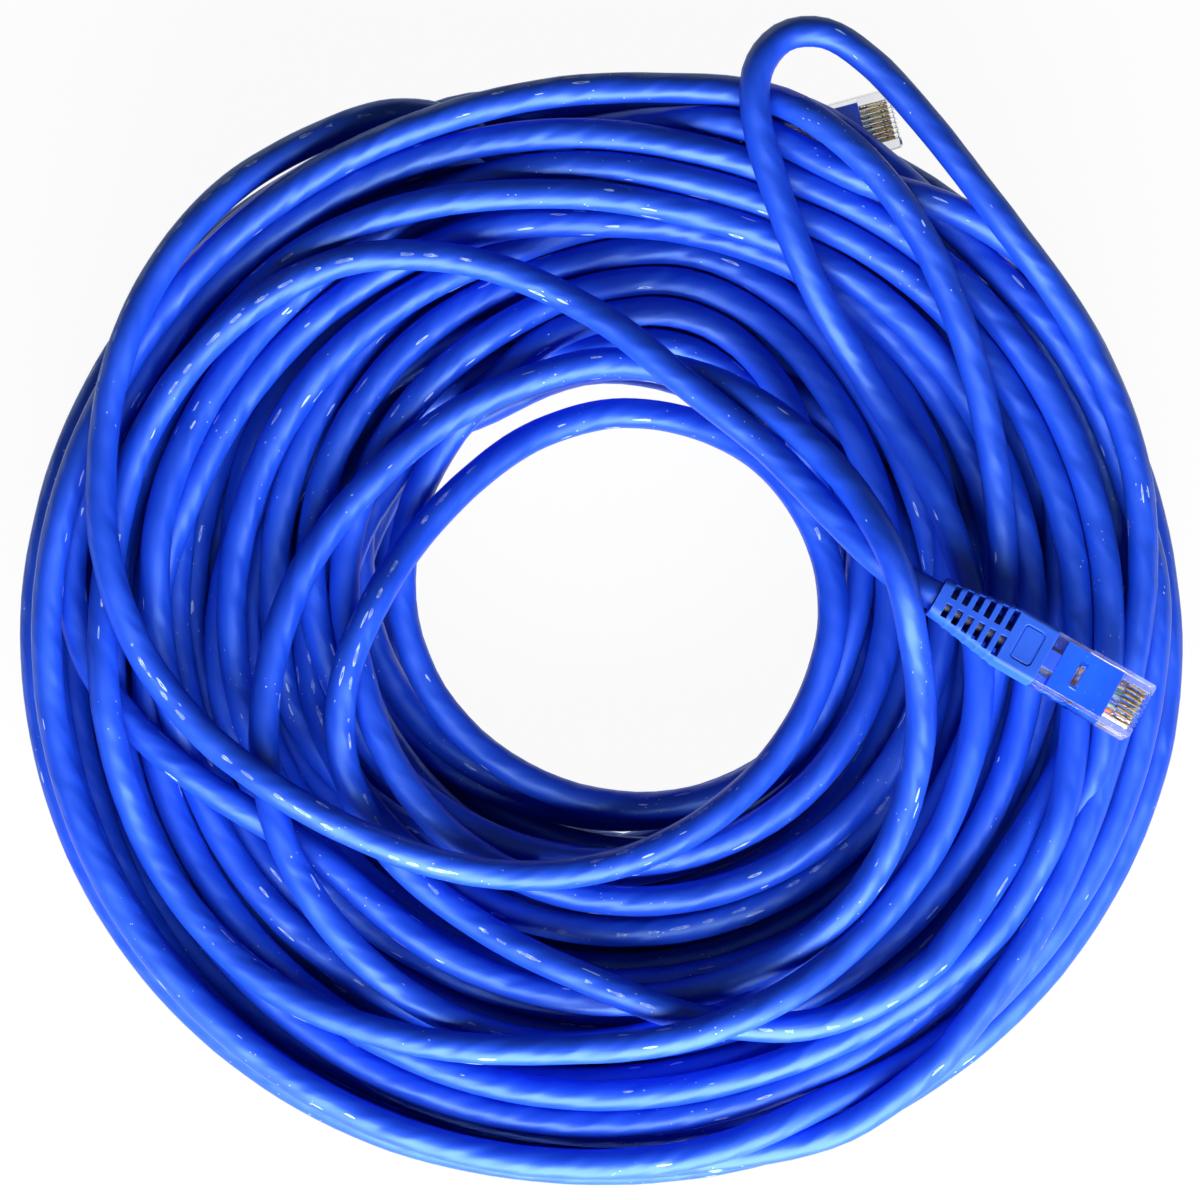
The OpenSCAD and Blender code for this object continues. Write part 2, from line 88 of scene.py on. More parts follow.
# %% The cord's sizes, in millimetres
MM = 0.001
CORD_D = 6.0
CORD_R = CORD_D / 2
BOOT_L = 24.0
PLUG_A = {"at": (85.7, -7.3, 54.0), "yaw": -30.0, "roll": -8.0}
PLUG_B = {"at": (37.1, 93.1, 39.8), "yaw": 15.0, "roll": 8.0}


def heading(yaw):
    """The unit vector that a plug with this yaw points along."""
    return np.array([math.cos(math.radians(yaw)), math.sin(math.radians(yaw)), 0.0])


def boot_tail(plug):
    """Where the cord leaves the boot of a plug."""
    return np.array(plug["at"]) - BOOT_L * heading(plug["yaw"])


print("cord leaves its boots at", boot_tail(PLUG_A).round(1), boot_tail(PLUG_B).round(1))

# %% [markdown]
# ## Routes of the two leads
#
# Each lead is a string of listed points: out of the boot, over the pile
# in wide bends, and down to the place where the winding begins. A height of
# 46.6 mm is a strand that lies on the pile, and 53 mm is one that crosses over
# another such strand. A centripetal Catmull-Rom curve goes through all of the
# points without the loops and overshoots that a plain spline makes where
# points stand close together.

# %% Points of the leads, from boot to winding
ROUTE_A = [
    (56.2, 9.8, 53.8), (45, 20.5, 52), (33, 33, 49.5), (17.5, 45.5, 47.5), (-2, 60.5, 46.8),
    (-25, 70, 46.6), (-50, 70, 46.6), (-73, 57, 46.6), (-89.5, 35, 46.6), (-96.5, 6, 46.6),
    (-95, -24, 46.6), (-84.5, -51, 46.6), (-64.5, -71.5, 46.6), (-38, -81.5, 47),
    (-9, -83.5, 49.5), (20, -79.5, 53.2), (46, -66, 51), (65, -44, 47), (73.5, -18.5, 46.5),
    (72.3, 4, 46.5), (66, 24.5, 47), (53, 46, 48.5), (41.5, 65, 50.5), (33.5, 85, 52.6),
    (30, 99, 53.5), (30.6, 107, 53.5), (35.5, 113, 52.5), (43.5, 114, 51.5), (52.5, 108.5, 51),
    (64, 96, 51.5), (78, 78, 49), (93.5, 57, 45), (104.5, 31, 42.5), (106.3, 6, 41.8),
    (104.3, -12, 40.8),
]
ROUTE_B = [
    (4.3, 84.4, 38.7), (-7, 84.5, 37.5), (-17.5, 90, 37), (-28, 97.5, 38.5), (-41, 99.5, 42),
    (-56, 94.5, 46), (-71.5, 85, 47), (-84.5, 70, 47.8), (-93, 52, 49.8), (-96.5, 33, 52.4),
    (-96, 14, 53.4), (-90, -4.5, 52.4), (-78.5, -20.5, 50.5), (-62.5, -33, 51), (-46, -42, 53),
    (-29, -48, 51.5), (-12, -49.8, 49), (4.5, -47.3, 47.2), (20, -40, 45), (33, -29, 42),
    (42, -15, 39.5), (46, 1, 37), (43, 17, 35), (32.5, 31.7, 33.5), (19.5, 38.9, 32.5),
    (3, 41.2, 32), (-12, 37, 32.5), (-24.5, 28.5, 34.5), (-37, 15, 39), (-44.5, 2.5, 44),
    (-50, -12, 46.6), (-50, -28.5, 46.6), (-41.5, -45, 46.6), (-24, -59.5, 46.6),
    (-2.5, -70, 46.6), (21, -78, 46.6), (45, -78, 46.6), (68, -64, 45.5),
]
WINDING_START = np.array([85.4, -37.5, 40.4])
WINDING_END = np.array([98.7, -29.3, 39.2])


def through(points, step):
    """A centripetal Catmull-Rom curve through the points, sampled about every step mm."""
    points = np.asarray(points, float)
    padded = np.vstack([2 * points[0] - points[1], points, 2 * points[-1] - points[-2]])
    out = []
    for i in range(len(points) - 1):
        p0, p1, p2, p3 = padded[i : i + 4]
        knots = np.cumsum([0] + [np.linalg.norm(b - a) ** 0.5 for a, b in ((p0, p1), (p1, p2), (p2, p3))])
        k0, k1, k2, k3 = knots
        count = max(2, round(np.linalg.norm(p2 - p1) / step))
        t = np.linspace(k1, k2, count, endpoint=False)[:, None]
        a1 = ((k1 - t) * p0 + (t - k0) * p1) / (k1 - k0)
        a2 = ((k2 - t) * p1 + (t - k1) * p2) / (k2 - k1)
        a3 = ((k3 - t) * p2 + (t - k2) * p3) / (k3 - k2)
        b1 = ((k2 - t) * a1 + (t - k0) * a2) / (k2 - k0)
        b2 = ((k3 - t) * a2 + (t - k1) * a3) / (k3 - k1)
        out.append(((k2 - t) * b1 + (t - k1) * b2) / (k2 - k1))
    return np.vstack(out + [points[-1:]])


def length_of(line):
    """Length of a line of points."""
    return float(np.linalg.norm(np.diff(line, axis=0), axis=1).sum())


lead_a = through([boot_tail(PLUG_A)] + ROUTE_A + [WINDING_END], 1.5)
lead_b = through([boot_tail(PLUG_B)] + ROUTE_B + [WINDING_START], 1.5)
print("leads in mm:", round(length_of(lead_a)), round(length_of(lead_b)))

# %% [markdown]
# ## A pile of turns that settles
#
# A cord wound by hand doesn't lie in neat layers: every turn wanders across
# the pile, slips between its neighbours and rides over them. Drawing sixty
# such turns by hand is hopeless, and random ones would run through each other.
# So the turns start in six rough layers with some wander, and then a small
# relaxation pushes them apart until none is inside another.
#
# Each turn is known only at fixed directions round the ring, 2 degrees apart.
# At each direction it has a distance from the middle and a height. Two turns
# touch where those two numbers bring them closer than one diameter, and they
# are then pushed apart. The pushes are smoothed along the cord before they are
# used, which is what makes it bend like a cord and not like a thread.

# %% Stations round the ring, and smoothing
STATIONS = 180
STEP_DEG = 360 / STATIONS
SEAM_DEG = 336.31
STATION_DEG = SEAM_DEG + STEP_DEG * np.arange(STATIONS)
TURNS = 58
GUIDED = 3
FREE = TURNS - GUIDED
RING_BLUR, RING_PAD = 4, 60


def bell(width):
    """The weights of a Gaussian average of this width, in stations."""
    k = np.arange(-int(3 * width) - 1, int(3 * width) + 2)
    weights = np.exp(-0.5 * (k / width) ** 2)
    return weights / weights.sum()


def smooth(values, width):
    """Gaussian average along an open line. Its two ends stay where they are."""
    weights = bell(width)
    n = len(weights) // 2
    before = 2 * values[0] - values[n:0:-1]
    after = 2 * values[-1] - values[-2 : -n - 2 : -1]
    return np.convolve(np.concatenate([before, values, after]), weights, "valid")


def round_ring(pairs):
    """A list of (degrees, value) as smoothed values at the stations."""
    angles = np.array([a for a, _ in pairs] + [pairs[0][0] + 360], float)
    values = np.array([v for _, v in pairs] + [pairs[0][1]], float)
    found = np.interp((STATION_DEG - angles[0]) % 360 + angles[0], angles, values)
    wrapped = np.concatenate([found[-RING_PAD:], found, found[:RING_PAD]])
    return np.convolve(wrapped, bell(RING_BLUR), "same")[RING_PAD:-RING_PAD]


print("stations:", STATIONS, "turns:", TURNS)

# %% The room that the ring fills: its outline, its hole and its height
OUTSIDE = [
    (0, 113), (15, 111), (30, 111), (60, 108), (75, 105.5), (90, 103), (105, 103.5), (120, 106.5),
    (135, 108.5), (150, 111), (165, 114.5), (180, 116), (195, 117), (210, 117), (225, 115),
    (240, 113), (255, 110.5), (270, 110), (285, 111), (300, 112), (315, 115), (330, 117.5),
    (345, 117),
]
HOLE = [
    (0, 47.5), (45, 48.5), (60, 50.5), (75, 51.5), (90, 51), (105, 49), (120, 47.5), (150, 43),
    (165, 40), (180, 38.5), (195, 36), (225, 32.5), (240, 31.5), (270, 32.5), (285, 34.5), (300, 39),
    (315, 44.5), (330, 47.5),
]
PILE_TOP = 40.2
DIP_DEPTH, DIP_DEG, DIP_SPREAD = 13.0, 70.0, 34.0


def turned(angle, middle):
    """How far a direction is from another, between -180 and 180 degrees."""
    return (angle - middle + 180) % 360 - 180


outside = round_ring(OUTSIDE)
hole = round_ring(HOLE)
dip = DIP_DEPTH * np.exp(-((turned(STATION_DEG, DIP_DEG) / DIP_SPREAD) ** 2))
print("ring is", round(outside.max() * 2), "mm across, the pile", PILE_TOP + CORD_R, "mm high")

# %% [markdown]
# ## Where the turns start from
#
# The free turns fill six rows of the pile, from the bottom up. Inside a row
# the cord is laid from one side to the other, but in a slightly shuffled
# order, so that neighbours cross a few times on the way round, as they do in
# the hand. The last three turns lie on top, in full view, so they follow
# listed points: the distance from the middle at each direction, counted
# on past 360 degrees for each further time round.

# %% The free turns
ROW_SHARES = np.array([8.5, 10, 10.5, 10.5, 10, 8.5])
ROW_MARGINS = [0.13, 0.04, 0.0, 0.0, 0.04, 0.12]
SHUFFLE = 2.2
WANDER, WANDER_WIDTH = 0.07, 45
rng = np.random.default_rng(11)

# The winding starts on top and dives through the pile before it fills the rows: (place, height)
DIVE = [(0.68, 40.4), (0.7, 33.0), (0.75, 25.0), (0.8, 15.0)]


def laid_rows():
    """The place across the pile (0 inside, 1 outside) and the height at which each free turn starts."""
    in_rows = FREE - len(DIVE)
    counts = np.round(ROW_SHARES / ROW_SHARES.sum() * in_rows).astype(int)
    counts[2] += in_rows - counts.sum()
    across, height = [p for p, _ in DIVE], [h for _, h in DIVE]
    for row, (count, margin) in enumerate(zip(counts, ROW_MARGINS)):
        place = margin + (1 - 2 * margin) * np.arange(count) / (count - 1)
        order = np.argsort(np.arange(count) + rng.normal(0, SHUFFLE, count))
        across += list(place[order[::-1] if row % 2 == 0 else order])
        height += [CORD_R + row * (PILE_TOP - CORD_R) / (len(counts) - 1)] * count
    return np.array(across), np.array(height)


def eased(values, turn):
    """One value per turn, blended so that each turn slides over to the next."""
    k = np.clip(np.floor(turn).astype(int), 0, len(values) - 2)
    f = np.clip(turn - k, 0, 1)
    return values[k] + (values[k + 1] - values[k]) * f * f * (3 - 2 * f)


row_place, row_height = laid_rows()
free_turn = np.arange(FREE * STATIONS + 1) / STATIONS
free_station = np.arange(len(free_turn)) % STATIONS
wander = smooth(rng.normal(0, 1, len(free_turn)), WANDER_WIDTH)
place = np.clip(eased(np.append(row_place, 1.0), free_turn) + WANDER * wander / wander.std(), 0, 1)
level = eased(np.append(row_height, PILE_TOP), free_turn)
print("rows start at heights", sorted(set(row_height.round(1))))

# %% Top turns at the outside ride over the lower plug, the others sink with the dip
HUMP, HUMP_DEG, HUMP_SPREAD = 8, 78, 22

start_height = np.interp(free_turn, np.arange(FREE + 1), np.append(row_height, PILE_TOP))
over_plug = (start_height > PILE_TOP - 2) & (place > 0.5)
hump = HUMP * np.exp(-((turned(STATION_DEG, HUMP_DEG) / HUMP_SPREAD) ** 2))[free_station]
sunk = 1 - dip[free_station] / PILE_TOP
free_r = hole[free_station] + place * (outside - hole)[free_station]
free_z = np.where(over_plug, level + hump, CORD_R + (level - CORD_R) * sunk)
print("points that ride over the plug:", int(over_plug.sum()))

# %% The last three turns: degrees on from the seam, and mm from the middle
SHOWN = [
    (340, 67), (355, 60), (360, 59), (375, 56.5), (390, 54.5), (405, 52.5), (420, 52), (435, 51),
    (450, 49.5), (480, 48.5), (510, 51.5), (530, 58.5), (552, 66), (570, 75), (585, 78.5),
    (600, 82.5), (615, 85), (630, 84.5), (645, 81), (660, 76.5), (680, 75), (700, 75.5),
    (723, 78.5), (735, 80), (750, 84), (765, 93), (780, 105), (790, 108.5), (795, 108.5),
    (810, 103), (825, 102), (840, 103), (870, 105), (900, 108.5), (930, 109.5), (960, 108),
    (990, 106.5), (1020, 107), (1050, 108.5), (1060, 109.5), (1080, 109), (1110, 106), (1140, 103),
    (1170, 101), (1200, 103), (1230, 106), (1260, 108.5), (1290, 109.5), (1320, 108.5),
    (1350, 107), (1380, 108.5), (1395, 109), (1410, 107), (1422, 103),
]
SHOWN_HEIGHT = [
    (340, 46), (352, 57), (368, 60), (384, 55), (405, 50), (430, 46), (470, 41), (540, 41),
    (570, 46), (640, 47), (700, 42), (765, 46), (775, 52), (786, 52), (795, 48), (810, 46),
    (840, 44), (900, 42), (1060, 40), (1420, 40),
]
# The turn before them comes into view over its second half
LEAD_IN = [
    (200, 64), (225, 70), (240, 72), (255, 73), (270, 75), (285, 75.5), (300, 75.5), (315, 74),
    (330, 69), (345, 65),
]


def along(pairs, at):
    """A list of (degrees, value) read at these degrees."""
    return np.interp(at, [a for a, _ in pairs], [v for _, v in pairs])


shown_deg = SEAM_DEG + STEP_DEG * np.arange(1, GUIDED * STATIONS + 4)
r = np.concatenate([free_r, smooth(along(SHOWN, shown_deg), 4)])
z = np.concatenate([free_z, smooth(along(SHOWN_HEIGHT, shown_deg), 4)])
index = np.arange(len(r))
station = index % STATIONS
before_last = np.arange((FREE - 1) * STATIONS, FREE * STATIONS + 1)
before_deg = SEAM_DEG - 360 + STEP_DEG * (before_last - before_last[0])
share = np.clip((before_deg - 180) / 40, 0, 1)
r[before_last] += (along(LEAD_IN, before_deg) - r[before_last]) * share
z[before_last] += (PILE_TOP + 4 - z[before_last]) * share
guided = index >= (FREE - 1) * STATIONS + 100
over_plug = np.append(over_plug, np.zeros(len(r) - len(over_plug), bool))
lift = smooth((guided | over_plug).astype(float), 9)
guide = smooth(guided.astype(float), 6)
r, z = smooth(r, 3), smooth(z, 6)
wanted_r = r.copy()
print("points on the winding:", len(r))

# %% [markdown]
# ## What the turns may not pass through
#
# The two leads and the two plugs are fixed things that the turns have to go
# round. A lead is a circle wherever it crosses a station's plane, narrower
# where it passes beside the plane. A plug is a few boxes in its own turned
# frame: the body with its boot, the hood under it, and the latch.

# %% The leads as circles in each station's plane
REACH = 5.7
TOUCH_SQ = 36.3
NOWHERE = -999
# The last stretch of each lead runs on into the winding, so it isn't in the way
JOINED = 14


def crossings(line):
    """For each station, the (distance, height, radius) of a lead's samples next to its plane."""
    angle = np.degrees(np.arctan2(line[:, 1], line[:, 0]))
    radius = np.hypot(line[:, 0], line[:, 1])
    found = []
    for at in STATION_DEG:
        away = np.radians(turned(angle, at))
        beside = radius * np.sin(away)
        near = (np.abs(away) < 1) & (np.abs(beside) < REACH)
        touch = np.sqrt(TOUCH_SQ - beside[near] ** 2)
        found.append(np.stack([(radius * np.cos(away))[near], line[near, 2], touch], 1))
    return found


cross_a, cross_b = crossings(lead_a[:-JOINED]), crossings(lead_b[:-JOINED])
widest = max(len(a) + len(b) for a, b in zip(cross_a, cross_b))
circles = np.zeros((STATIONS, widest, 3))
circles[:, :, 0] = NOWHERE
of_lead_a = np.zeros((STATIONS, widest), bool)
for j, (a, b) in enumerate(zip(cross_a, cross_b)):
    circles[j, : len(a) + len(b)] = np.vstack([a, b])
    of_lead_a[j, : len(a)] = True
print("lead samples beside one plane:", widest)

# %% The plugs as boxes: body with boot, hood, latch
PLUG_BOXES = [
    ((-24, -5, -3.9), (21.5, 5, 3.6)),
    ((-4, -4.2, -8.7), (6.3, 4.2, -3)),
    ((0, -3, -6.5), (20, 3, -3)),
]


def plug_turn(plug):
    """The rotation that takes a plug's own directions into the object's."""
    return (Matrix.Rotation(math.radians(plug["yaw"]), 4, "Z")
            @ Matrix.Rotation(math.radians(plug["roll"]), 4, "X"))


def out_of_box(points, plug, low, high, margin):
    """How far to push each point so that it stays a margin away from a box."""
    turn = np.array(plug_turn(plug).to_3x3())
    low, high = np.array(low, float), np.array(high, float)
    local = (points - np.array(plug["at"])) @ turn
    gap = local - np.clip(local, low, high)
    far = np.linalg.norm(gap, axis=1)
    push = np.zeros_like(points)
    near = (far > 1e-6) & (far < margin)
    push[near] = gap[near] / far[near, None] * (margin - far[near])[:, None]
    inside = far <= 1e-6
    down = local[inside, 2] - low[2] + margin
    up = high[2] - local[inside, 2] + margin
    push[inside, 2] = np.where(up < down, up, -down)
    return push @ turn.T


print("boxes that stand for a plug:", len(PLUG_BOXES))

# %% One push between all turns that touch
CONTACT = 6.08
# Two turns deeper in each other than this are told which one goes up
MIXED_UP, HINT_UP = 3, 0.6
PUSH_SHARE = 0.75
WOUND = TURNS * STATIONS

winding_deg = SEAM_DEG + STEP_DEG * index
winding_cos, winding_sin = np.cos(np.radians(winding_deg)), np.sin(np.radians(winding_deg))


def by_turn(values):
    """Values along the winding as one row for each turn."""
    return values[:WOUND].reshape(TURNS, -1)


def turns_apart(r, z):
    """Pushes that part every two turns closer than a diameter. The later turn goes up."""
    rows, heights = by_turn(r), by_turn(z)
    dr, dz = rows[:, None] - rows[None], heights[:, None] - heights[None]
    squared = dr * dr + dz * dz
    squared[np.arange(TURNS), np.arange(TURNS)] = 1e9
    k, other, j = np.nonzero(squared < CONTACT**2)
    across, upward, apart = dr[k, other, j], dz[k, other, j], np.sqrt(squared[k, other, j])
    upward = np.where(apart < MIXED_UP, upward + np.where(k > other, HINT_UP, -HINT_UP), upward)
    size = np.sqrt(across**2 + upward**2) + 1e-9
    depth = CONTACT - apart
    flat = k * STATIONS + j
    touching = np.maximum(1, np.bincount(flat, minlength=WOUND)) ** 0.5
    push_r = np.bincount(flat, PUSH_SHARE * depth * across / size, WOUND) / touching
    push_z = np.bincount(flat, PUSH_SHARE * depth * upward / size, WOUND) / touching
    return push_r, push_z, depth


# %% One push away from the leads
# The turn that crosses lead A beside its boot goes over it
over_lead_a = np.zeros(len(r), bool)
over_lead_a[(FREE - 1) * STATIONS + 150 : FREE * STATIONS + 60] = True
near_lead_a = np.abs(turned(STATION_DEG, 5)) < 30
OVER_LEAD = 1.5


def clear_of_leads(r, z):
    """Pushes away from the leads. Where several reach one point, the deepest counts."""
    dr = by_turn(r).T[:, :, None] - circles[:, None, :, 0]
    dz = by_turn(z).T[:, :, None] - circles[:, None, :, 1]
    apart = np.sqrt(dr**2 + dz**2)
    j, k, c = np.nonzero(apart < circles[:, None, :, 2])
    depth = circles[j, c, 2] - apart[j, k, c]
    flat = k * STATIONS + j
    across, upward = dr[j, k, c], dz[j, k, c]
    over = over_lead_a[flat] & of_lead_a[j, c] & near_lead_a[j]
    upward = np.where(over, np.abs(upward) + OVER_LEAD, upward)
    across = np.where(over, 0, across)
    size = np.sqrt(across**2 + upward**2) + 1e-9
    deepest_last = np.argsort(depth)
    push_r, push_z = np.zeros(WOUND), np.zeros(WOUND)
    push_r[flat[deepest_last]] = (depth * across / size)[deepest_last]
    push_z[flat[deepest_last]] = (depth * upward / size)[deepest_last]
    return push_r, push_z


print("points that may cross over lead A:", int(over_lead_a.sum()))

# %% Keep the pile in its room, with rounded shoulders
TOP_PLAY, LIFTED = 1.5, 12.5
SHOULDER, SHOULDER_FROM = 9, 0.45
PULL_BACK = 0.3
END_HOLD = 12.0
LEAST_BEND, BEND_BLUR = 26.0, 2
UNKINK_SHARE, UNKINK_BLUR = 0.5, 3

START_AT = (np.hypot(*WINDING_START[:2]), WINDING_START[2])
END_AT = (np.hypot(*WINDING_END[:2]), WINDING_END[2])


def kept_in_room(r, z):
    """Moves the winding back towards its outline, its hole, its top and the table."""
    top = PILE_TOP + TOP_PLAY - dip[station] + lift * (LIFTED + dip[station])
    z = np.where(z > top, z - PULL_BACK * (z - top), z)
    z = np.maximum(z, CORD_R)
    half = (top - CORD_R) / 2
    bend = (np.abs(z - CORD_R - half) - SHOULDER_FROM * half) / ((1 - SHOULDER_FROM) * half)
    shoulder = SHOULDER * (1 - lift) * (1 - np.sqrt(1 - np.clip(bend, 0, 1) ** 2))
    most, least = outside[station] - shoulder, hole[station] + shoulder
    r = np.where(r > most, r - PULL_BACK * (r - most), r)
    r = np.where(r < least, r + PULL_BACK * (least - r), r)
    return r, z


def ends_held(r, z):
    """Draws both ends of the winding to the places where the leads begin."""
    first = np.exp(-((index / END_HOLD) ** 2))
    last = first[::-1]
    r = r + (START_AT[0] - r[0]) * first
    r = r + (END_AT[0] - r[-1]) * last
    z = z + (START_AT[1] - z[0]) * first
    return r, z + (END_AT[1] - z[-1]) * last


def unkinked(r, z):
    """Smooths the winding only where it bends tighter than the cord likes to."""
    points = np.stack([r * winding_cos, r * winding_sin, z], 1)
    second = points[2:] - 2 * points[1:-1] + points[:-2]
    step_sq = ((points[2:] - points[:-2]) ** 2).sum(1) / 4
    bend = np.append(np.insert(np.linalg.norm(second, axis=1) / step_sq, 0, 0), 0)
    weight = UNKINK_SHARE * smooth(np.clip(bend * LEAST_BEND - 1, 0, 1), BEND_BLUR)
    return [x + weight * (smooth(x, UNKINK_BLUR) - x) for x in (r, z)]


print("winding runs from", np.round(START_AT, 1), "to", np.round(END_AT, 1))

# %% Settle the pile
ROUNDS, QUICK_ROUNDS = 700, 60
PLUG_NEAR, PLUG_MARGIN = 40, 3.1
MOST_MOVE = 1.5
# What holds until this share of the rounds: blur of a push in stations, its gain, sinking in mm
STAGES = [
    (0.4, 5, 2.2, 0.01), (0.5, 3, 1.6, 0.01), (0.75, 3, 1.6, 0.004), (0.8, 2, 1.6, 0.004), (1, 2, 1.6, 0),
]
SHAPED_UNTIL, GUIDE_PULL = 0.93, 0.04
EASE_EVERY, EASE_SHARE, EASE_BLUR = 4, 0.25, 3


def clear_of_plugs(r, z):
    """Pushes out of the boxes that stand for the plugs."""
    points = np.stack([r * winding_cos, r * winding_sin, z], 1)
    for plug in (PLUG_A, PLUG_B):
        near = np.where(np.linalg.norm(points - np.array(plug["at"]), axis=1) < PLUG_NEAR)[0]
        for low, high in PLUG_BOXES:
            push = out_of_box(points[near], plug, low, high, PLUG_MARGIN)
            yield near, push[:, 0] * winding_cos[near] + push[:, 1] * winding_sin[near], push[:, 2]


def settled(r, z, rounds):
    """Relaxes the turns until they lie on and beside each other."""
    for step in range(rounds):
        done = step / rounds
        push_r, push_z, depth = turns_apart(r, z)
        lead_r, lead_z = clear_of_leads(r, z)
        move_r, move_z = np.zeros(len(r)), np.zeros(len(r))
        move_r[:WOUND], move_z[:WOUND] = push_r + lead_r, push_z + lead_z
        for near, out_r, out_z in clear_of_plugs(r, z):
            move_r[near] += out_r
            move_z[near] += out_z
        width, gain, sinking = next(values for until, *values in STAGES if done < until)
        r = r + np.clip(gain * smooth(move_r, width), -MOST_MOVE, MOST_MOVE)
        z = z + np.clip(gain * smooth(move_z, width), -MOST_MOVE, MOST_MOVE)
        z = z - sinking
        if done < SHAPED_UNTIL:
            r, z = kept_in_room(r, z)
            r = r + GUIDE_PULL * guide * (wanted_r - r)
            if step % EASE_EVERY == 0:
                r, z = [x + EASE_SHARE * (smooth(x, EASE_BLUR) - x) for x in (r, z)]
        r, z = unkinked(r, z)
        r, z = ends_held(r, np.maximum(z, CORD_R))
        if step % 100 == 0 or step == rounds - 1:
            print("round", step, "touches", len(depth) // 2, "mean depth", round(depth.mean(), 3),
                  "deepest", round(depth.max(), 2), "pile", round(np.percentile(z, 95), 1))
    return r, z


r, z = settled(r, z, ROUNDS)
winding = np.stack([r * winding_cos, r * winding_sin, z], 1)
print("winding in m:", round(length_of(winding) * MM, 2))

# %% [markdown]
# ## The leads come down on the pile
#
# The leads' points give a height for a flat pile, and the settled pile isn't
# flat. So each lead is lowered until it touches what is under it, which may be
# the pile, the other lead or an earlier stretch of itself. Which of two leads
# lies on top at a crossing is read from their first heights and kept. A cord
# is stiff, so it can't follow every dent: it takes the highest contact within
# a short reach on both sides, and the result is smoothed. Where nothing is
# under it, as where a loop hangs into the hole, it keeps its height.

# %% What lies under each point of the leads
LEAD_TOUCH_SQ = 36.6
OWN_REACH = 40


def samples(line, step):
    """A line of points read again at even steps along it."""
    run = np.concatenate([[0], np.cumsum(np.linalg.norm(np.diff(line, axis=0), axis=1))])
    at = np.linspace(0, run[-1], max(2, round(run[-1] / step) + 1))
    return np.stack([np.interp(at, run, line[:, i]) for i in range(3)], 1)


leads = np.vstack([lead_a, lead_b])
whose = np.repeat([0, 1], [len(lead_a), len(lead_b)])
place_on = np.concatenate([np.arange(len(lead_a)), np.arange(len(lead_b))])
pile = samples(winding, 1.0)
pile_touch = np.full(len(leads), -np.inf)
upper, lower, rise = [], [], []
for i, (x, y, height) in enumerate(leads):
    apart_sq = (pile[:, 0] - x) ** 2 + (pile[:, 1] - y) ** 2
    near = (apart_sq < REACH**2) & (pile[:, 2] < height + 1)
    if near.any():
        pile_touch[i] = (pile[near, 2] + np.sqrt(LEAD_TOUCH_SQ - apart_sq[near])).max()
    apart_sq = (leads[:, 0] - x) ** 2 + (leads[:, 1] - y) ** 2
    own = (whose == whose[i]) & (np.abs(place_on - place_on[i]) < OWN_REACH)
    for j in np.where((apart_sq < REACH**2) & (leads[:, 2] < height - 1) & ~own)[0]:
        upper.append(i)
        lower.append(j)
        rise.append(math.sqrt(LEAD_TOUCH_SQ - apart_sq[j]))
upper, lower, rise = np.array(upper), np.array(lower), np.array(rise)
print("places where a lead crosses a lead:", len(upper))

# %% Lower the leads until they touch
DEEPEST_DROP = 9.0
STIFF_REACH, HELD_ENDS = 8, 25
FREE_FALL = -1e3
SWEEPS, LIFTS, LIFT_GAIN = 4, 6, 1.5
DROP_BLUR, LIFT_BLUR = 7, 3


def lowered(start, touch):
    """Heights of one lead, brought down to what it lies on."""
    count = len(start)
    touch = np.where(~np.isfinite(touch) | (start - touch > DEEPEST_DROP), FREE_FALL, touch)
    highest = np.array([touch[max(0, i - STIFF_REACH) : i + STIFF_REACH + 1].max() for i in range(count)])
    known = highest > FREE_FALL
    drop = np.where(known, start - highest, 0.0)
    drop = np.interp(np.arange(count), np.where(known)[0], drop[known])
    held = np.minimum(1, np.minimum(np.arange(count), np.arange(count)[::-1]) / HELD_ENDS)
    out = start - smooth(np.maximum(drop, 0) * held, DROP_BLUR)
    for _ in range(LIFTS):
        out = out + LIFT_GAIN * smooth(np.maximum(0, touch - out) * held, LIFT_BLUR)
    return out


heights = leads[:, 2].copy()
for _ in range(SWEEPS):
    touch = pile_touch.copy()
    np.maximum.at(touch, upper, heights[lower] + rise)
    for lead in (0, 1):
        heights[whose == lead] = lowered(leads[whose == lead, 2], touch[whose == lead])
came_down = leads[:, 2] - heights
print("leads came down by", came_down.mean().round(1), "mm, at most", came_down.max().round(1))
leads[:, 2] = heights
lead_a_low, lead_b_low = leads[whose == 0], leads[whose == 1]

# %% [markdown]
# ## One continuous cord
#
# The lead from the upper plug, the winding and the lead to the lower plug are
# one piece of cord, so they become one line: out of one boot, round and round,
# and into the other. The two joins are eased over a few centimetres, so that
# no kink marks where the parts met. Then the line is read at even steps. Short
# steps keep the bends smooth, and the number of steps times the number of
# sides sets how heavy the mesh is: the leads, which lie on top, get the
# shorter steps.

# %% Join the three lines
JOIN_REACH, JOIN_ROUNDS = 16, 60
WINDING_STEP = 4.0
LEAD_STEP = 2.2


def eased_at(line, middle):
    """Relaxes a stretch of a line so that it bends evenly."""
    line = line.copy()
    low, high = middle - JOIN_REACH, middle + JOIN_REACH
    for _ in range(JOIN_ROUNDS):
        between = 0.5 * (line[low - 1 : high - 1] + line[low + 1 : high + 1])
        line[low:high] += 0.5 * (between - line[low:high])
    return line


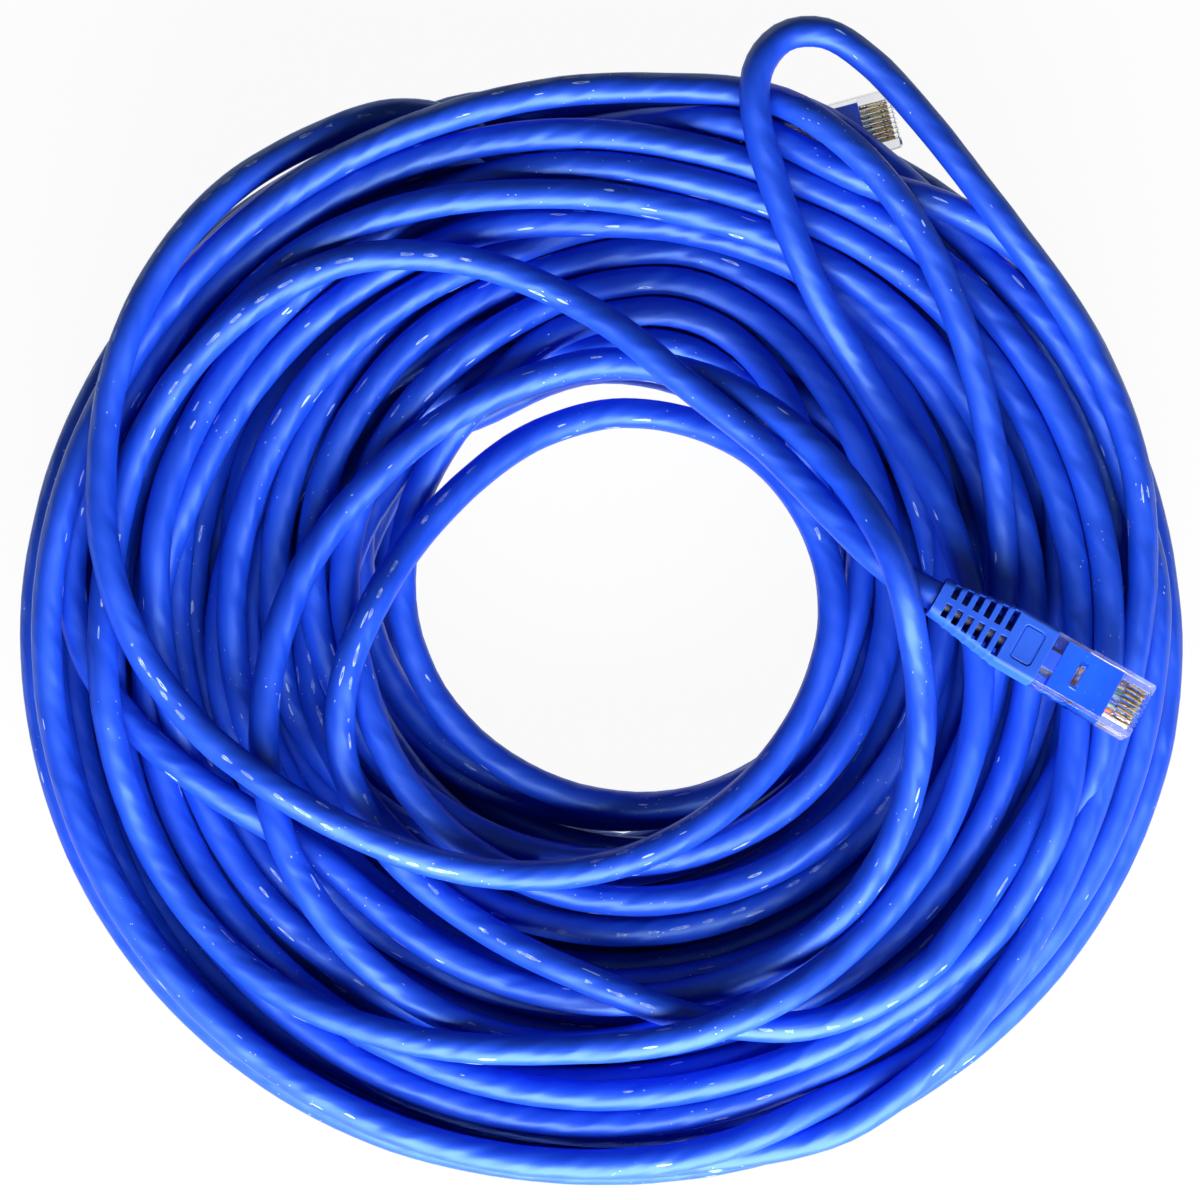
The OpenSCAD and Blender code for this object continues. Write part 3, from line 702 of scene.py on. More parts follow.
near_lead = samples(lead_a_low, LEAD_STEP)
far_lead = samples(lead_b_low, LEAD_STEP)[::-1]
wound = samples(winding, WINDING_STEP)[::-1]
whole = np.vstack([near_lead[:-1], wound, far_lead[1:]])
for join in (len(near_lead) - 1, len(near_lead) + len(wound) - 2):
    whole = eased_at(whole, join)
whole[:, 2] = np.maximum(whole[:, 2], CORD_R)
cord_line = whole * MM + RING_MIDDLE
CORD_LENGTH = length_of(cord_line)
LEAD_B_LENGTH = length_of(far_lead) * MM
print("cord in m:", round(CORD_LENGTH, 2), "with", len(cord_line), "points")

# %% [markdown]
# ## A skin for the cord
#
# The cord's skin follows a path, which is what Geometry Nodes are good at. The
# tree turns a string of edges into a curve, keeps the skin's seam on the same
# side of it and sweeps a circle along it. It also stores, at every point of
# the skin, a vector called "sheath": two numbers that go round the cord and
# one that runs along it. A texture read at that vector bends with the cord and
# has no seam.
#
# Twisted pairs press through a soft jacket, so the skin isn't perfectly round:
# a little noise, read at the same vector, moves it in and out.
#
# A tree of nodes is long to write out, so two helpers come first. One adds a
# node and fills its inputs in one go: a socket or a node is linked, and
# anything else is set as a value. The other makes an empty group with its
# named sockets.

# %% Helpers for node trees
def feed(tree, node, *values, **named):
    """Sets a node's inputs, in order or by name. A socket or a node is linked, anything else is a value."""
    pairs = list(zip(node.inputs, values))
    pairs += [(node.inputs[name.replace("_", " ")], value) for name, value in named.items()]
    for socket, value in pairs:
        if isinstance(value, bpy.types.Node):
            value = value.outputs[0]
        if isinstance(value, bpy.types.NodeSocket):
            tree.links.new(value, socket)
        elif value is not None:
            socket.default_value = value


def put(tree, kind, *values, **named):
    """Adds a node. Names with a capital are its inputs, the others its settings."""
    node = tree.nodes.new(kind)
    node.location = 200 * (len(tree.nodes) % 9), -300 * (len(tree.nodes) // 9)
    for name, value in named.items():
        if name[0].islower():
            setattr(node, name, value)
    feed(tree, node, *values, **{name: value for name, value in named.items() if name[0].isupper()})
    return node


def maths(tree, operation, *values, **settings):
    """Adds a Math node and returns its result."""
    return put(tree, "ShaderNodeMath", *values, operation=operation, **settings).outputs[0]


def vectors(tree, operation, *values, **named):
    """Adds a Vector Math node and returns its vector."""
    return put(tree, "ShaderNodeVectorMath", *values, operation=operation, **named).outputs[0]


def new_group(name, kind, inputs, outputs):
    """An empty node group with named sockets: the tree, what it is given and its end."""
    tree = bpy.data.node_groups.new(name, kind)
    for way, rows in (("INPUT", inputs), ("OUTPUT", outputs)):
        for label, value_kind, *default in rows:
            socket = tree.interface.new_socket(label, in_out=way, socket_type="NodeSocket" + value_kind)
            if default:
                socket.default_value = default[0]
    return tree, put(tree, "NodeGroupInput").outputs, put(tree, "NodeGroupOutput")


def socket_id(tree, name):
    """The identifier by which a modifier knows a named input."""
    return next(i.identifier for i in tree.interface.items_tree if i.name == name and i.in_out == "INPUT")


def placed(name, mesh):
    """A new object with this mesh, in the scene."""
    made = bpy.data.objects.new(name, mesh)
    bpy.context.scene.collection.objects.link(made)
    return made


def evaluated_mesh(obj):
    """What an object's modifiers show, as a new mesh."""
    bpy.context.view_layer.update()
    return bpy.data.meshes.new_from_object(obj.evaluated_get(bpy.context.evaluated_depsgraph_get()))


def baked_nodes(host, tree, name, **values):
    """Runs a Geometry Nodes tree on an object and returns the result as a new plain mesh object."""
    modifier = host.modifiers.new("nodes", "NODES")
    modifier.node_group = tree
    for key, value in values.items():
        modifier[socket_id(tree, key.replace("_", " "))] = value
    mesh = evaluated_mesh(host)
    host.modifiers.remove(modifier)
    bpy.data.objects.remove(host)
    mesh.name = name
    return placed(name, mesh)


def string_of_edges(name, points):
    """A mesh of points joined in a line."""
    mesh = bpy.data.meshes.new(name)
    mesh.from_pydata([tuple(p) for p in points], [(i, i + 1) for i in range(len(points) - 1)], [])
    return placed(name, mesh)


# %% The tree that sweeps a skin along a line
def stored(tree, geometry, name, kind, value):
    """Keeps a value at every point under a name."""
    return put(tree, "GeometryNodeStoreNamedAttribute", data_type=kind, domain="POINT",
               Geometry=geometry, Name=name, Value=value)


def read_back(tree, name):
    """Reads a number that was stored under a name."""
    return put(tree, "GeometryNodeInputNamedAttribute", data_type="FLOAT", Name=name).outputs["Attribute"]


def skin_tree():
    """Geometry Nodes that sweep a round, slightly lumpy skin along a string of edges."""
    tree, given, end = new_group(
        "skin along a line", "GeometryNodeTree",
        [("Line", "Geometry"), ("Radius", "Float", 0.003), ("Sides", "Int", 12),
         ("Lump height", "Float", 0.0001), ("Lump length", "Float", 0.01), ("Seed", "Float", 1.0),
         ("Finish", "Material")],
        [("Skin", "Geometry")])
    curve = put(tree, "GeometryNodeMeshToCurve", given["Line"])
    curve = put(tree, "GeometryNodeSetCurveNormal", curve, mode="Z_UP")
    path = stored(tree, curve, "run", "FLOAT", put(tree, "GeometryNodeSplineParameter").outputs["Length"])
    circle = put(tree, "GeometryNodeCurvePrimitiveCircle", mode="RADIUS", Radius=given["Radius"],
                 Resolution=given["Sides"])
    circle = stored(tree, circle, "turn", "FLOAT", put(tree, "GeometryNodeSplineParameter").outputs["Factor"])
    swept = put(tree, "GeometryNodeCurveToMesh", Curve=path, Profile_Curve=circle, Fill_Caps=True)
    angle = maths(tree, "MULTIPLY", read_back(tree, "turn"), 2 * math.pi)
    across = [maths(tree, "MULTIPLY", maths(tree, way, angle), given["Radius"]) for way in ("COSINE", "SINE")]
    sheath = put(tree, "ShaderNodeCombineXYZ", *across, read_back(tree, "run"))
    swept = stored(tree, swept, "sheath", "FLOAT_VECTOR", sheath)
    noise = put(tree, "ShaderNodeTexNoise", noise_dimensions="4D", Vector=sheath, W=given["Seed"], Detail=1.0,
                Scale=maths(tree, "DIVIDE", 1.0, given["Lump length"]))
    height = maths(tree, "MULTIPLY", maths(tree, "SUBTRACT", noise, 0.5), given["Lump height"])
    lumps = vectors(tree, "SCALE", put(tree, "GeometryNodeInputNormal"), Scale=height)
    moved = put(tree, "GeometryNodeSetPosition", Geometry=swept, Offset=lumps)
    real = put(tree, "GeometryNodeRealizeInstances", put(tree, "GeometryNodeSetShadeSmooth", Geometry=moved))
    feed(tree, end, put(tree, "GeometryNodeSetMaterial", Geometry=real, Material=given["Finish"]))
    return tree


SKIN = skin_tree()
print("nodes in the skin's tree:", len(SKIN.nodes))

# %% [markdown]
# ## Effects that several finishes share
#
# Moulded and drawn plastic is never one flat colour. Four small node groups
# hold what the finishes here are made of, and each material places them with
# its own numbers. A group gives out only masks, colours and normals; the
# shader itself stays in the material, where every tool can find it.
#
# * "cloudy tint" lets a colour drift slowly between two shades.
# * "rubbed marks" gives a mask of small pale rings and scuffs, in patches.
# * "row of nicks" gives a mask of narrow rings in a row along one side of a cord.
# * "uneven skin" turns broad lumps and fine grain into a normal.

# %% Helpers for materials
def new_material(name):
    """A material with a Principled shader, with its tree and that shader."""
    made = bpy.data.materials.new(name)
    made.use_nodes = True
    return made, made.node_tree, made.node_tree.nodes["Principled BSDF"]


def shared(tree, group, vector, **values):
    """Places a shader group that reads a vector, and sets its other inputs."""
    return put(tree, "ShaderNodeGroup", node_tree=group, Vector=vector, **values)


def blend(tree, share, first, second):
    """Mixes two colours."""
    return put(tree, "ShaderNodeMix", share, *[None] * 5, first, second, data_type="RGBA").outputs[2]


def ranged(tree, value, *limits, **settings):
    """Maps a value from one range to another: from low, from high, to low, to high."""
    return put(tree, "ShaderNodeMapRange", value, *limits, **settings).outputs[0]


def either_shader(tree, share, first, second, end):
    """Shows the second shader by a share, and the first otherwise."""
    feed(tree, tree.nodes[end], put(tree, "ShaderNodeMixShader", share, first, second))


def noise(tree, vector, size, detail):
    """A noise texture whose clouds are about as large as a size."""
    scale = maths(tree, "DIVIDE", 1.0, size)
    return put(tree, "ShaderNodeTexNoise", Vector=vector, Scale=scale, Detail=detail)


# %% Group: a colour that drifts between two shades
def cloudy_tint():
    tree, given, end = new_group(
        "cloudy tint", "ShaderNodeTree",
        [("Vector", "Vector"), ("Shade A", "Color"), ("Shade B", "Color"), ("Patch size", "Float", 0.03)],
        [("Color", "Color"), ("Mask", "Float")])
    clouds = noise(tree, given["Vector"], given["Patch size"], 3.0)
    step = ranged(tree, clouds, 0.3, 0.7, interpolation_type="SMOOTHSTEP")
    feed(tree, end, blend(tree, step, given["Shade A"], given["Shade B"]), step)
    return tree


CLOUDY_TINT = cloudy_tint()
print("nodes in cloudy tint:", len(CLOUDY_TINT.nodes))


# %% Group: small pale rings and scuffs that come in patches
def rubbed_marks():
    tree, given, end = new_group(
        "rubbed marks", "ShaderNodeTree",
        [("Vector", "Vector"), ("Spread vector", "Vector"), ("Stretch", "Vector", (1.0, 1.0, 1.0)),
         ("Mark size", "Float", 0.2), ("Patch size", "Float", 0.05), ("Amount", "Float", 0.5)],
        [("Mask", "Float")])
    stretched = vectors(tree, "MULTIPLY", given["Vector"], given["Stretch"])
    ragged = put(tree, "ShaderNodeTexNoise", Vector=stretched, Scale=2.5, Detail=2.0).outputs["Color"]
    moved = vectors(tree, "ADD", stretched, vectors(tree, "SCALE", ragged, Scale=0.28))
    cells = put(tree, "ShaderNodeTexVoronoi", Vector=moved, Scale=1.0).outputs["Distance"]
    off = maths(tree, "ABSOLUTE", maths(tree, "SUBTRACT", cells, given["Mark size"]))
    mark = maths(tree, "LESS_THAN", off, maths(tree, "MULTIPLY", given["Mark size"], 0.38))
    patches = noise(tree, given["Spread vector"], given["Patch size"], 1.0)
    there = maths(tree, "GREATER_THAN", patches, maths(tree, "SUBTRACT", 1.0, given["Amount"]))
    feed(tree, end, maths(tree, "MULTIPLY", mark, there))
    return tree


RUBBED_MARKS = rubbed_marks()
print("nodes in rubbed marks:", len(RUBBED_MARKS.nodes))


# %% Group: a row of small rings along one side of a cord
def row_of_nicks():
    """Reads the "sheath" vector: each nick is a narrow ring, once in every pitch along the cord."""
    tree, given, end = new_group(
        "row of nicks", "ShaderNodeTree",
        [("Vector", "Vector"), ("Side", "Float", -1.6), ("Pitch", "Float", 0.006),
         ("Half length", "Float", 0.0014), ("Half width", "Float", 0.0003),
         ("Always after", "Float", 1.0), ("Share elsewhere", "Float", 0.2)],
        [("Mask", "Float")])
    do = partial(maths, tree)
    x, y, run = put(tree, "ShaderNodeSeparateXYZ", given["Vector"]).outputs

    def noise_along(length, offset, detail=0.0):
        """A number that changes about once in a length of cord."""
        at = do("ADD", do("MULTIPLY", run, 1.0 / length), offset)
        clouds = put(tree, "ShaderNodeTexNoise", noise_dimensions="1D", W=at, Scale=1.0, Detail=detail)
        return clouds.outputs[0]

    def length(a, b):
        return do("SQRT", do("ADD", do("MULTIPLY", a, a), do("MULTIPLY", b, b)))

    place = do("ADD", do("DIVIDE", run, given["Pitch"]), do("MULTIPLY", noise_along(0.009, 3.1), 0.9))
    along = do("MULTIPLY", do("SUBTRACT", do("FRACT", place), 0.5), given["Pitch"])
    wander = do("MULTIPLY", do("SUBTRACT", noise_along(0.11, 7.7, 1.0), 0.5), 2.8)
    turn = do("SUBTRACT", do("ARCTAN2", y, x), do("ADD", given["Side"], wander))
    across = do("MULTIPLY", do("WRAP", turn, math.pi, -math.pi), length(x, y))
    ragged = put(tree, "ShaderNodeTexNoise", Vector=given["Vector"], Scale=2500.0)
    far = length(do("DIVIDE", along, given["Half length"]), do("DIVIDE", across, given["Half width"]))
    torn = do("ADD", far, do("MULTIPLY", do("SUBTRACT", ragged, 0.5), 1.4))
    ring = do("LESS_THAN", do("ABSOLUTE", do("SUBTRACT", torn, 0.85)), 0.36)
    worn = do("MULTIPLY", do("ADD", noise_along(0.0016, 8.9), -0.25), 1.9, use_clamp=True)
    filled = do("MULTIPLY", do("LESS_THAN", torn, 0.9), 0.3)
    flake = do("MAXIMUM", do("MULTIPLY", ring, worn), filled)
    often = do("GREATER_THAN", noise_along(0.5, 1.3), do("SUBTRACT", 1.0, given["Share elsewhere"]))
    lead = do("MULTIPLY", do("GREATER_THAN", run, given["Always after"]),
              do("GREATER_THAN", noise_along(0.07, 2.2), 0.45))
    kept = do("GREATER_THAN", noise_along(0.012, 5.5), 0.44)
    there = do("MULTIPLY", do("MAXIMUM", often, lead), kept)
    feed(tree, end, do("MULTIPLY", flake, there))
    return tree


ROW_OF_NICKS = row_of_nicks()
print("nodes in row of nicks:", len(ROW_OF_NICKS.nodes))


# %% Group: broad lumps and fine grain as a normal
def uneven_skin():
    tree, given, end = new_group(
        "uneven skin", "ShaderNodeTree",
        [("Vector", "Vector"), ("Lump size", "Float", 0.005), ("Lump height", "Float", 0.0002),
         ("Grain size", "Float", 0.0005), ("Grain height", "Float", 0.00001)],
        [("Normal", "Vector")])

    def relief(name, detail):
        clouds = noise(tree, given["Vector"], given[f"{name} size"], detail)
        return maths(tree, "MULTIPLY", clouds, given[f"{name} height"])

    lumps, grain = relief("Lump", 1.0), relief("Grain", 2.0)
    feed(tree, end, put(tree, "ShaderNodeBump", Height=maths(tree, "ADD", lumps, grain), Distance=1.0))
    return tree


UNEVEN_SKIN = uneven_skin()
print("shared effects:", [g.name for g in bpy.data.node_groups if g.bl_idname == "ShaderNodeTree"])

# %% [markdown]
# ## The cord's jacket
#
# Soft blue PVC with a satin skin: deep where it faces away from the light, and
# a broad pale blue where it faces it. The four twisted pairs inside show as
# shallow lumps that run round the cord in a long helix, so the lumps are read
# at a sheath vector that is turned as it runs along, and they make the
# highlights waver. Handling has left short white scuffs in patches, and one
# side of the last lead carries a row of small ring-shaped nicks.

# %% Jacket finish
PAIR_TWIST = 0.045


def jacket_finish():
    made, tree, shader = new_material("cord jacket")
    sheath = put(tree, "ShaderNodeAttribute", attribute_type="GEOMETRY", attribute_name="sheath")
    sheath = sheath.outputs["Vector"]
    where = put(tree, "ShaderNodeTexCoord").outputs["Object"]
    tint = shared(tree, CLOUDY_TINT, sheath, Shade_A=(0.003, 0.048, 0.61, 1), Shade_B=(0.006, 0.064, 0.71, 1),
                  Patch_size=0.03)
    marks = shared(tree, RUBBED_MARKS, sheath, Spread_vector=where, Stretch=(480, 480, 66), Mark_size=0.085,
                   Patch_size=0.035, Amount=0.5)
    specks = shared(tree, RUBBED_MARKS, sheath, Spread_vector=where, Stretch=(700, 700, 420), Mark_size=0.06,
                    Patch_size=0.03, Amount=0.45)
    nicks = shared(tree, ROW_OF_NICKS, sheath, Side=-1.6, Always_after=CORD_LENGTH - LEAD_B_LENGTH,
                   Share_elsewhere=0.22, Half_width=0.00027)
    run = put(tree, "ShaderNodeSeparateXYZ", sheath).outputs["Z"]
    twist = maths(tree, "MULTIPLY", run, 2 * math.pi / PAIR_TWIST)
    turned_back = put(tree, "ShaderNodeVectorRotate", rotation_type="Z_AXIS", Vector=sheath, Angle=twist)
    drawn_out = vectors(tree, "MULTIPLY", turned_back, (1.0, 1.0, 0.4))
    skin = shared(tree, UNEVEN_SKIN, drawn_out, Lump_size=0.0045, Lump_height=0.0008,
                  Grain_size=0.0005, Grain_height=0.00001)
    pale = maths(tree, "MAXIMUM", marks, maths(tree, "MAXIMUM", nicks, specks))
    feed(tree, shader, Base_Color=blend(tree, pale, tint, (0.42, 0.56, 0.92, 1)),
         Roughness=ranged(tree, tint.outputs["Mask"], 0, 1, 0.44, 0.52), Normal=skin,
         IOR=1.5, Specular_IOR_Level=1.0, Specular_Tint=(0.5, 0.9, 1.0, 1))
    return made


jacket = jacket_finish()
print("jacket has", len(jacket.node_tree.nodes), "nodes")

# %% Sweep the skin along the cord
cord = baked_nodes(string_of_edges("cord line", cord_line), SKIN, "cord",
                   Radius=CORD_R * MM, Sides=12, Lump_height=0.0004, Lump_length=0.009,
                   Seed=3.0, Finish=jacket)
print("cord has", len(cord.data.polygons), "faces")
print("cord has", sum(len(p.vertices) - 2 for p in cord.data.polygons), "triangles")

# %% [markdown]
# ## Tools for moulded pieces
#
# A moulded piece starts as a few plain solids: prisms of a flat outline, and
# lofts through several outlines. They are joined or cut with Boolean
# modifiers, which keep walls and slots exact, and then a narrow bevel rounds
# every edge, because real moulded edges always catch a line of light. The work
# is done in the plug's own frame in millimetres: x runs from the rear of the
# housing to its nose, the contacts face +z and the cord's middle is y = z = 0.
# The last step puts the mesh in its place, with the object at the origin.

# %% Outlines and solids
def arc(middle, radius, first, last, steps):
    """Points on an arc between two angles in degrees, both included."""
    turns = [math.radians(first + (last - first) * k / steps) for k in range(steps + 1)]
    return [(middle[0] + radius * math.cos(a), middle[1] + radius * math.sin(a)) for a in turns]


def rounded(width, height, radius, steps=5):
    """The outline of a rectangle with round corners, about its middle."""
    points = []
    for u, v, first in ((1, 1, 0), (-1, 1, 90), (-1, -1, 180), (1, -1, 270)):
        middle = u * (width / 2 - radius), v * (height / 2 - radius)
        points += arc(middle, radius, first, first + 90, steps)
    return points


def circle(radius, steps, middle=(0, 0)):
    """The outline of a circle."""
    return arc(middle, radius, 0, 360, steps)[:-1]


def box_outline(low_u, low_v, high_u, high_v):
    """The outline of a rectangle between two corners."""
    return [(low_u, low_v), (high_u, low_v), (high_u, high_v), (low_u, high_v)]


AXES = {"x": lambda u, v, w: (w, u, v), "y": lambda u, v, w: (u, w, v), "z": lambda u, v, w: (u, v, w)}


def loft(bm, sections, axis="x"):
    """Adds a closed skin through outlines that have as many points, each given as (place, outline)."""
    rings = [[bm.verts.new(AXES[axis](u, v, w)) for u, v in outline] for w, outline in sections]
    count = len(rings[0])
    for near, far in zip(rings, rings[1:]):
        for k in range(count):
            bm.faces.new((near[k], near[(k + 1) % count], far[(k + 1) % count], far[k]))
    bm.faces.new(rings[0][::-1])
    bm.faces.new(rings[-1])


def prism(bm, outline, low, high, axis="z"):
    """Adds a closed prism of one outline."""
    loft(bm, [(low, outline), (high, outline)], axis)


def solid(name, fill, *values):
    """An object whose mesh a function fills, with its faces turned outwards."""
    bm = bmesh.new()
    fill(bm, *values)
    bmesh.ops.recalc_face_normals(bm, faces=bm.faces)
    mesh = bpy.data.meshes.new(name)
    bm.to_mesh(mesh)
    bm.free()
    return placed(name, mesh)


print("a prism can stand along", " ".join(AXES))

# %% Joining, cutting and rounding
def applied(obj):
    """Makes what an object's modifiers show its own mesh."""
    mesh = evaluated_mesh(obj)
    obj.modifiers.clear()
    obj.data = mesh
    return obj


def combined(body, way, name, fill, *values):
    """Joins another solid to a body or cuts it away."""
    other = solid(name, fill, *values)
    step = body.modifiers.new(way, "BOOLEAN")
    step.operation, step.solver, step.object = way, "EXACT", other
    step.use_self = True
    applied(body)
    bpy.data.objects.remove(other)


def evened(obj):
    """Bends the shading normals so that large flat faces look flat."""
    step = obj.modifiers.new("even", "WEIGHTED_NORMAL")
    step.keep_sharp = True
    return applied(obj)


MERGE, FLAT_DEG, EDGE_DEG = 0.002, 1, 32


def softened(obj, width):
    """Rounds the edges of a solid and shades it smooth."""
    bm = bmesh.new()
    bm.from_mesh(obj.data)
    bmesh.ops.remove_doubles(bm, verts=bm.verts, dist=MERGE)
    bmesh.ops.dissolve_limit(bm, angle_limit=math.radians(FLAT_DEG), verts=bm.verts, edges=bm.edges)
    bm.to_mesh(obj.data)
    bm.free()
    step = obj.modifiers.new("edges", "BEVEL")
    step.width, step.segments = width, 2
    step.limit_method, step.angle_limit = "ANGLE", math.radians(EDGE_DEG)
    step.use_clamp_overlap = False
    step.miter_outer = "MITER_ARC"
    applied(obj)
    obj.data.shade_smooth()
    return evened(obj)


# %% Placing, and saying what a piece is
def plug_matrix(plug):
    """Takes a plug's own millimetres to the object's frame in metres."""
    at = Vector(plug["at"]) * MM + Vector(RING_MIDDLE)
    return Matrix.Translation(at) @ plug_turn(plug) @ Matrix.Scale(MM, 4)


def dressed(obj, name, material, body, slot, *nodes):
    """Names a piece, gives it its finish and says what it moves with and stands for."""
    obj.name = obj.data.name = name
    obj.data.materials.clear()
    obj.data.materials.append(material)
    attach(obj, body)
    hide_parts(*nodes)
    corners = np.array([v.co for v in obj.data.vertices])
    print(name, "faces", len(obj.data.polygons), "size in mm", (np.ptp(corners, axis=0) / MM).round(1))


def finished(obj, name, plug, *rest):
    """Puts a piece of a plug in its place and dresses it."""
    obj.data.transform(plug_matrix(plug))
    dressed(obj, name, *rest)


PLUGS = {"a": PLUG_A, "b": PLUG_B}
print("plug A stands at", [round(x, 4) for x in plug_matrix(PLUG_A).to_translation()])

# %% [markdown]
# ## Finishes of the plug
#
# The boot is a soft blue plastic, paler and duller than the cord. The housing
# is clear polycarbonate: what shows of it is mostly its edges and what lies
# behind it. A clear piece would throw a black shadow on what is inside, so it
# lets light rays for shadows through. A thin wall seen on edge scatters some
# light and looks milky, which a clear material with flat faces doesn't show,
# so a second one lets a little less through. The blue moulding inside has no
# highlight of its own, because plastic lies on plastic there. The blades are
# plated with gold, and the eight wires have the usual pair colours.
#
# All of them are one recipe with other numbers: a tint that drifts, a skin
# that is uneven, and a roughness between two limits.

# %% The recipe, and the opaque plastics
def finish(name, shade_a, shade_b, patch, rough, lumps, grain, marks=None, **constants):
    """A material with a drifting tint and an uneven skin. Lumps and grain are (size, height)."""
    made, tree, shader = new_material(name)
    where = put(tree, "ShaderNodeTexCoord").outputs["Object"]
    tint = shared(tree, CLOUDY_TINT, where, Shade_A=(*shade_a, 1), Shade_B=(*shade_b, 1), Patch_size=patch)
    skin = shared(tree, UNEVEN_SKIN, where, Lump_size=lumps[0], Lump_height=lumps[1],
                  Grain_size=grain[0], Grain_height=grain[1])
    mask = shared(tree, RUBBED_MARKS, where, Spread_vector=where, **marks) if marks else tint.outputs["Mask"]
    feed(tree, shader, Base_Color=tint, Roughness=ranged(tree, mask, 0, 1, *rough), Normal=skin, **constants)
    return made


def moulded(name, shade_a, shade_b, roughness, grain_height, **constants):
    """Opaque moulded plastic."""
    return finish(name, shade_a, shade_b, 0.008, (roughness - 0.05, roughness + 0.05), (0.004, 0.00006),
                  (0.00025, grain_height), IOR=1.5, **constants)


boot_blue = moulded("boot plastic", (0.015, 0.100, 0.72), (0.020, 0.125, 0.82), 0.55, 0.000014)
mould_blue = moulded("inner moulding", (0.001, 0.060, 0.66), (0.003, 0.080, 0.76), 0.16, 0.000003,
                     Specular_IOR_Level=0.0)
# A near-black copy of the jacket's blue: painted shade for the inside of the boot, seen through its slots.
jacket_painted_shade = moulded("jacket in the boot, painted shade", (0.002, 0.008, 0.055), (0.003, 0.012, 0.085), 0.42,
                        0.000006)
jacket_pressed = moulded("pressed jacket end", (0.008, 0.062, 0.70), (0.012, 0.078, 0.80), 0.28, 0.000003)
white_plastic = moulded("white separator", (0.74, 0.75, 0.76), (0.82, 0.82, 0.80), 0.45, 0.000004)
opaque_plastics = boot_blue, mould_blue, jacket_painted_shade, jacket_pressed, white_plastic
print("opaque plastics:", [m.name for m in opaque_plastics])

# %% Clear polycarbonate, and the same where it is milky
FINE_SCRATCHES = {"Stretch": (900, 900, 900), "Mark_size": 0.08, "Patch_size": 0.004, "Amount": 0.45}


def clear_finish(name, clearness):
    """Plastic that light passes. Shadow rays go straight through it."""
    made = finish(name, (0.93, 0.955, 0.98), (0.97, 0.98, 0.99), 0.006, (0.05, 0.45), (0.003, 0.00005),
                  (0.0003, 0.000002), FINE_SCRATCHES, Transmission_Weight=clearness,
                  Specular_IOR_Level=0.3, IOR=1.5)
    tree = made.node_tree
    shadow_ray = put(tree, "ShaderNodeLightPath").outputs["Is Shadow Ray"]
    clear = put(tree, "ShaderNodeBsdfTransparent", (0.9, 0.93, 0.96, 1))
    either_shader(tree, shadow_ray, tree.nodes["Principled BSDF"], clear, "Material Output")
    return made


clear_plastic = clear_finish("clear polycarbonate", 1.0)
milky_plastic = clear_finish("milky polycarbonate", 0.9)
print("clear plastics:", clear_plastic.name, "and", milky_plastic.name)

# %% Gold plating and the wires' colours
gold = finish("gold plating", (0.72, 0.47, 0.14), (0.90, 0.66, 0.28), 0.002, (0.2, 0.38), (0.0015, 0.00002),
              (0.0002, 0.000003), Metallic=1.0)
WIRES = [
    ("wire_white_orange", (0.85, 0.55, 0.30)), ("wire_orange", (0.80, 0.17, 0.01)),
    ("wire_white_green", (0.50, 0.72, 0.46)), ("wire_blue", (0.02, 0.10, 0.62)),
    ("wire_white_blue", (0.45, 0.58, 0.82)), ("wire_green", (0.02, 0.30, 0.06)),
    ("wire_white_brown", (0.62, 0.45, 0.34)), ("wire_brown", (0.16, 0.06, 0.02)),
]
wire_finishes = [
    moulded(slot.replace("_", " "), tuple(0.9 * c for c in colour), colour, 0.35, 0.000002)
    for slot, colour in WIRES
]
print("wire colours:", [slot for slot, _ in WIRES])

# %% [markdown]
# ## The housing
#
# A clear box with a hollow for the cord and its moulding, a channel for the
# flat row of wires, and eight slots that are open at the nose and leave a comb
# of thin ribs between the blades, with a shallow pocket behind each blade. The
# side walls step in behind the middle, where the plug enters its socket last.
# A hooked bar under a small window holds the moulding, and a round seat on the
# underside takes the root of the latch.
#
# The long edges of the walls, the corners of the nose and the bar get the
# milky finish. Faces can only change their finish at an edge, so the housing
# is first split along planes, and then each face is chosen by its middle.

# %% The plug's sizes, in millimetres
PLUG_L, PLUG_W, PLUG_H = 21.46, 11.68, 6.6
HALF_H = PLUG_H / 2
SIDE_WALL, FLAT_WALL = 0.84, 0.6
HOLLOW_L = 14.9
HOLLOW_W, HOLLOW_H = PLUG_W - 2 * SIDE_WALL, PLUG_H - 2 * FLAT_WALL
PITCH, BLADE_T, BLADE_L = 1.02, 0.35, 4.0
BLADE_FRONT = PLUG_L - 0.9
BLADE_BACK = BLADE_FRONT - BLADE_L
BLADE_TOP = HALF_H - 0.5
ROW_Z, WIRE_D, FIT = -0.9, 0.9, 0.05
ROW_HALF = 3.5 * PITCH + WIRE_D / 2
SLOT_FLOOR, SLOT_FIT = 0.55, 0.06
HINGE_X, HINGE_Z, ROOT_R, ROOT_FIT = PLUG_L - 1.56, -HALF_H, 0.55, 0.15
LATCH_WIDE = 6.2
BAND_GAP, BAND_L = 2.6, 3.8
LANES = [(i - 3.5) * PITCH for i in range(8)]
WINDOW = (BAND_GAP + BAND_L, -2.8, BAND_GAP + BAND_L + 1.7, 2.8)
STEP_L, STEP_IN, STEP_TOP, STEP_LOW = 7.6, 0.22, 0.9, -1.6
NOSE_R, HOUSING_EDGE = 0.7, 0.09
BAR = [(8.2, 3.25), (8.2, 2.85), (7.6, 2.55), (7.25, 0.95), (6.6, 0.95), (6.95, 2.7), (7.45, 3.2)]
BAR_HALF = 2.05
PAST = 1
print("hollow in mm:", HOLLOW_L, round(HOLLOW_W, 2), round(HOLLOW_H, 2))


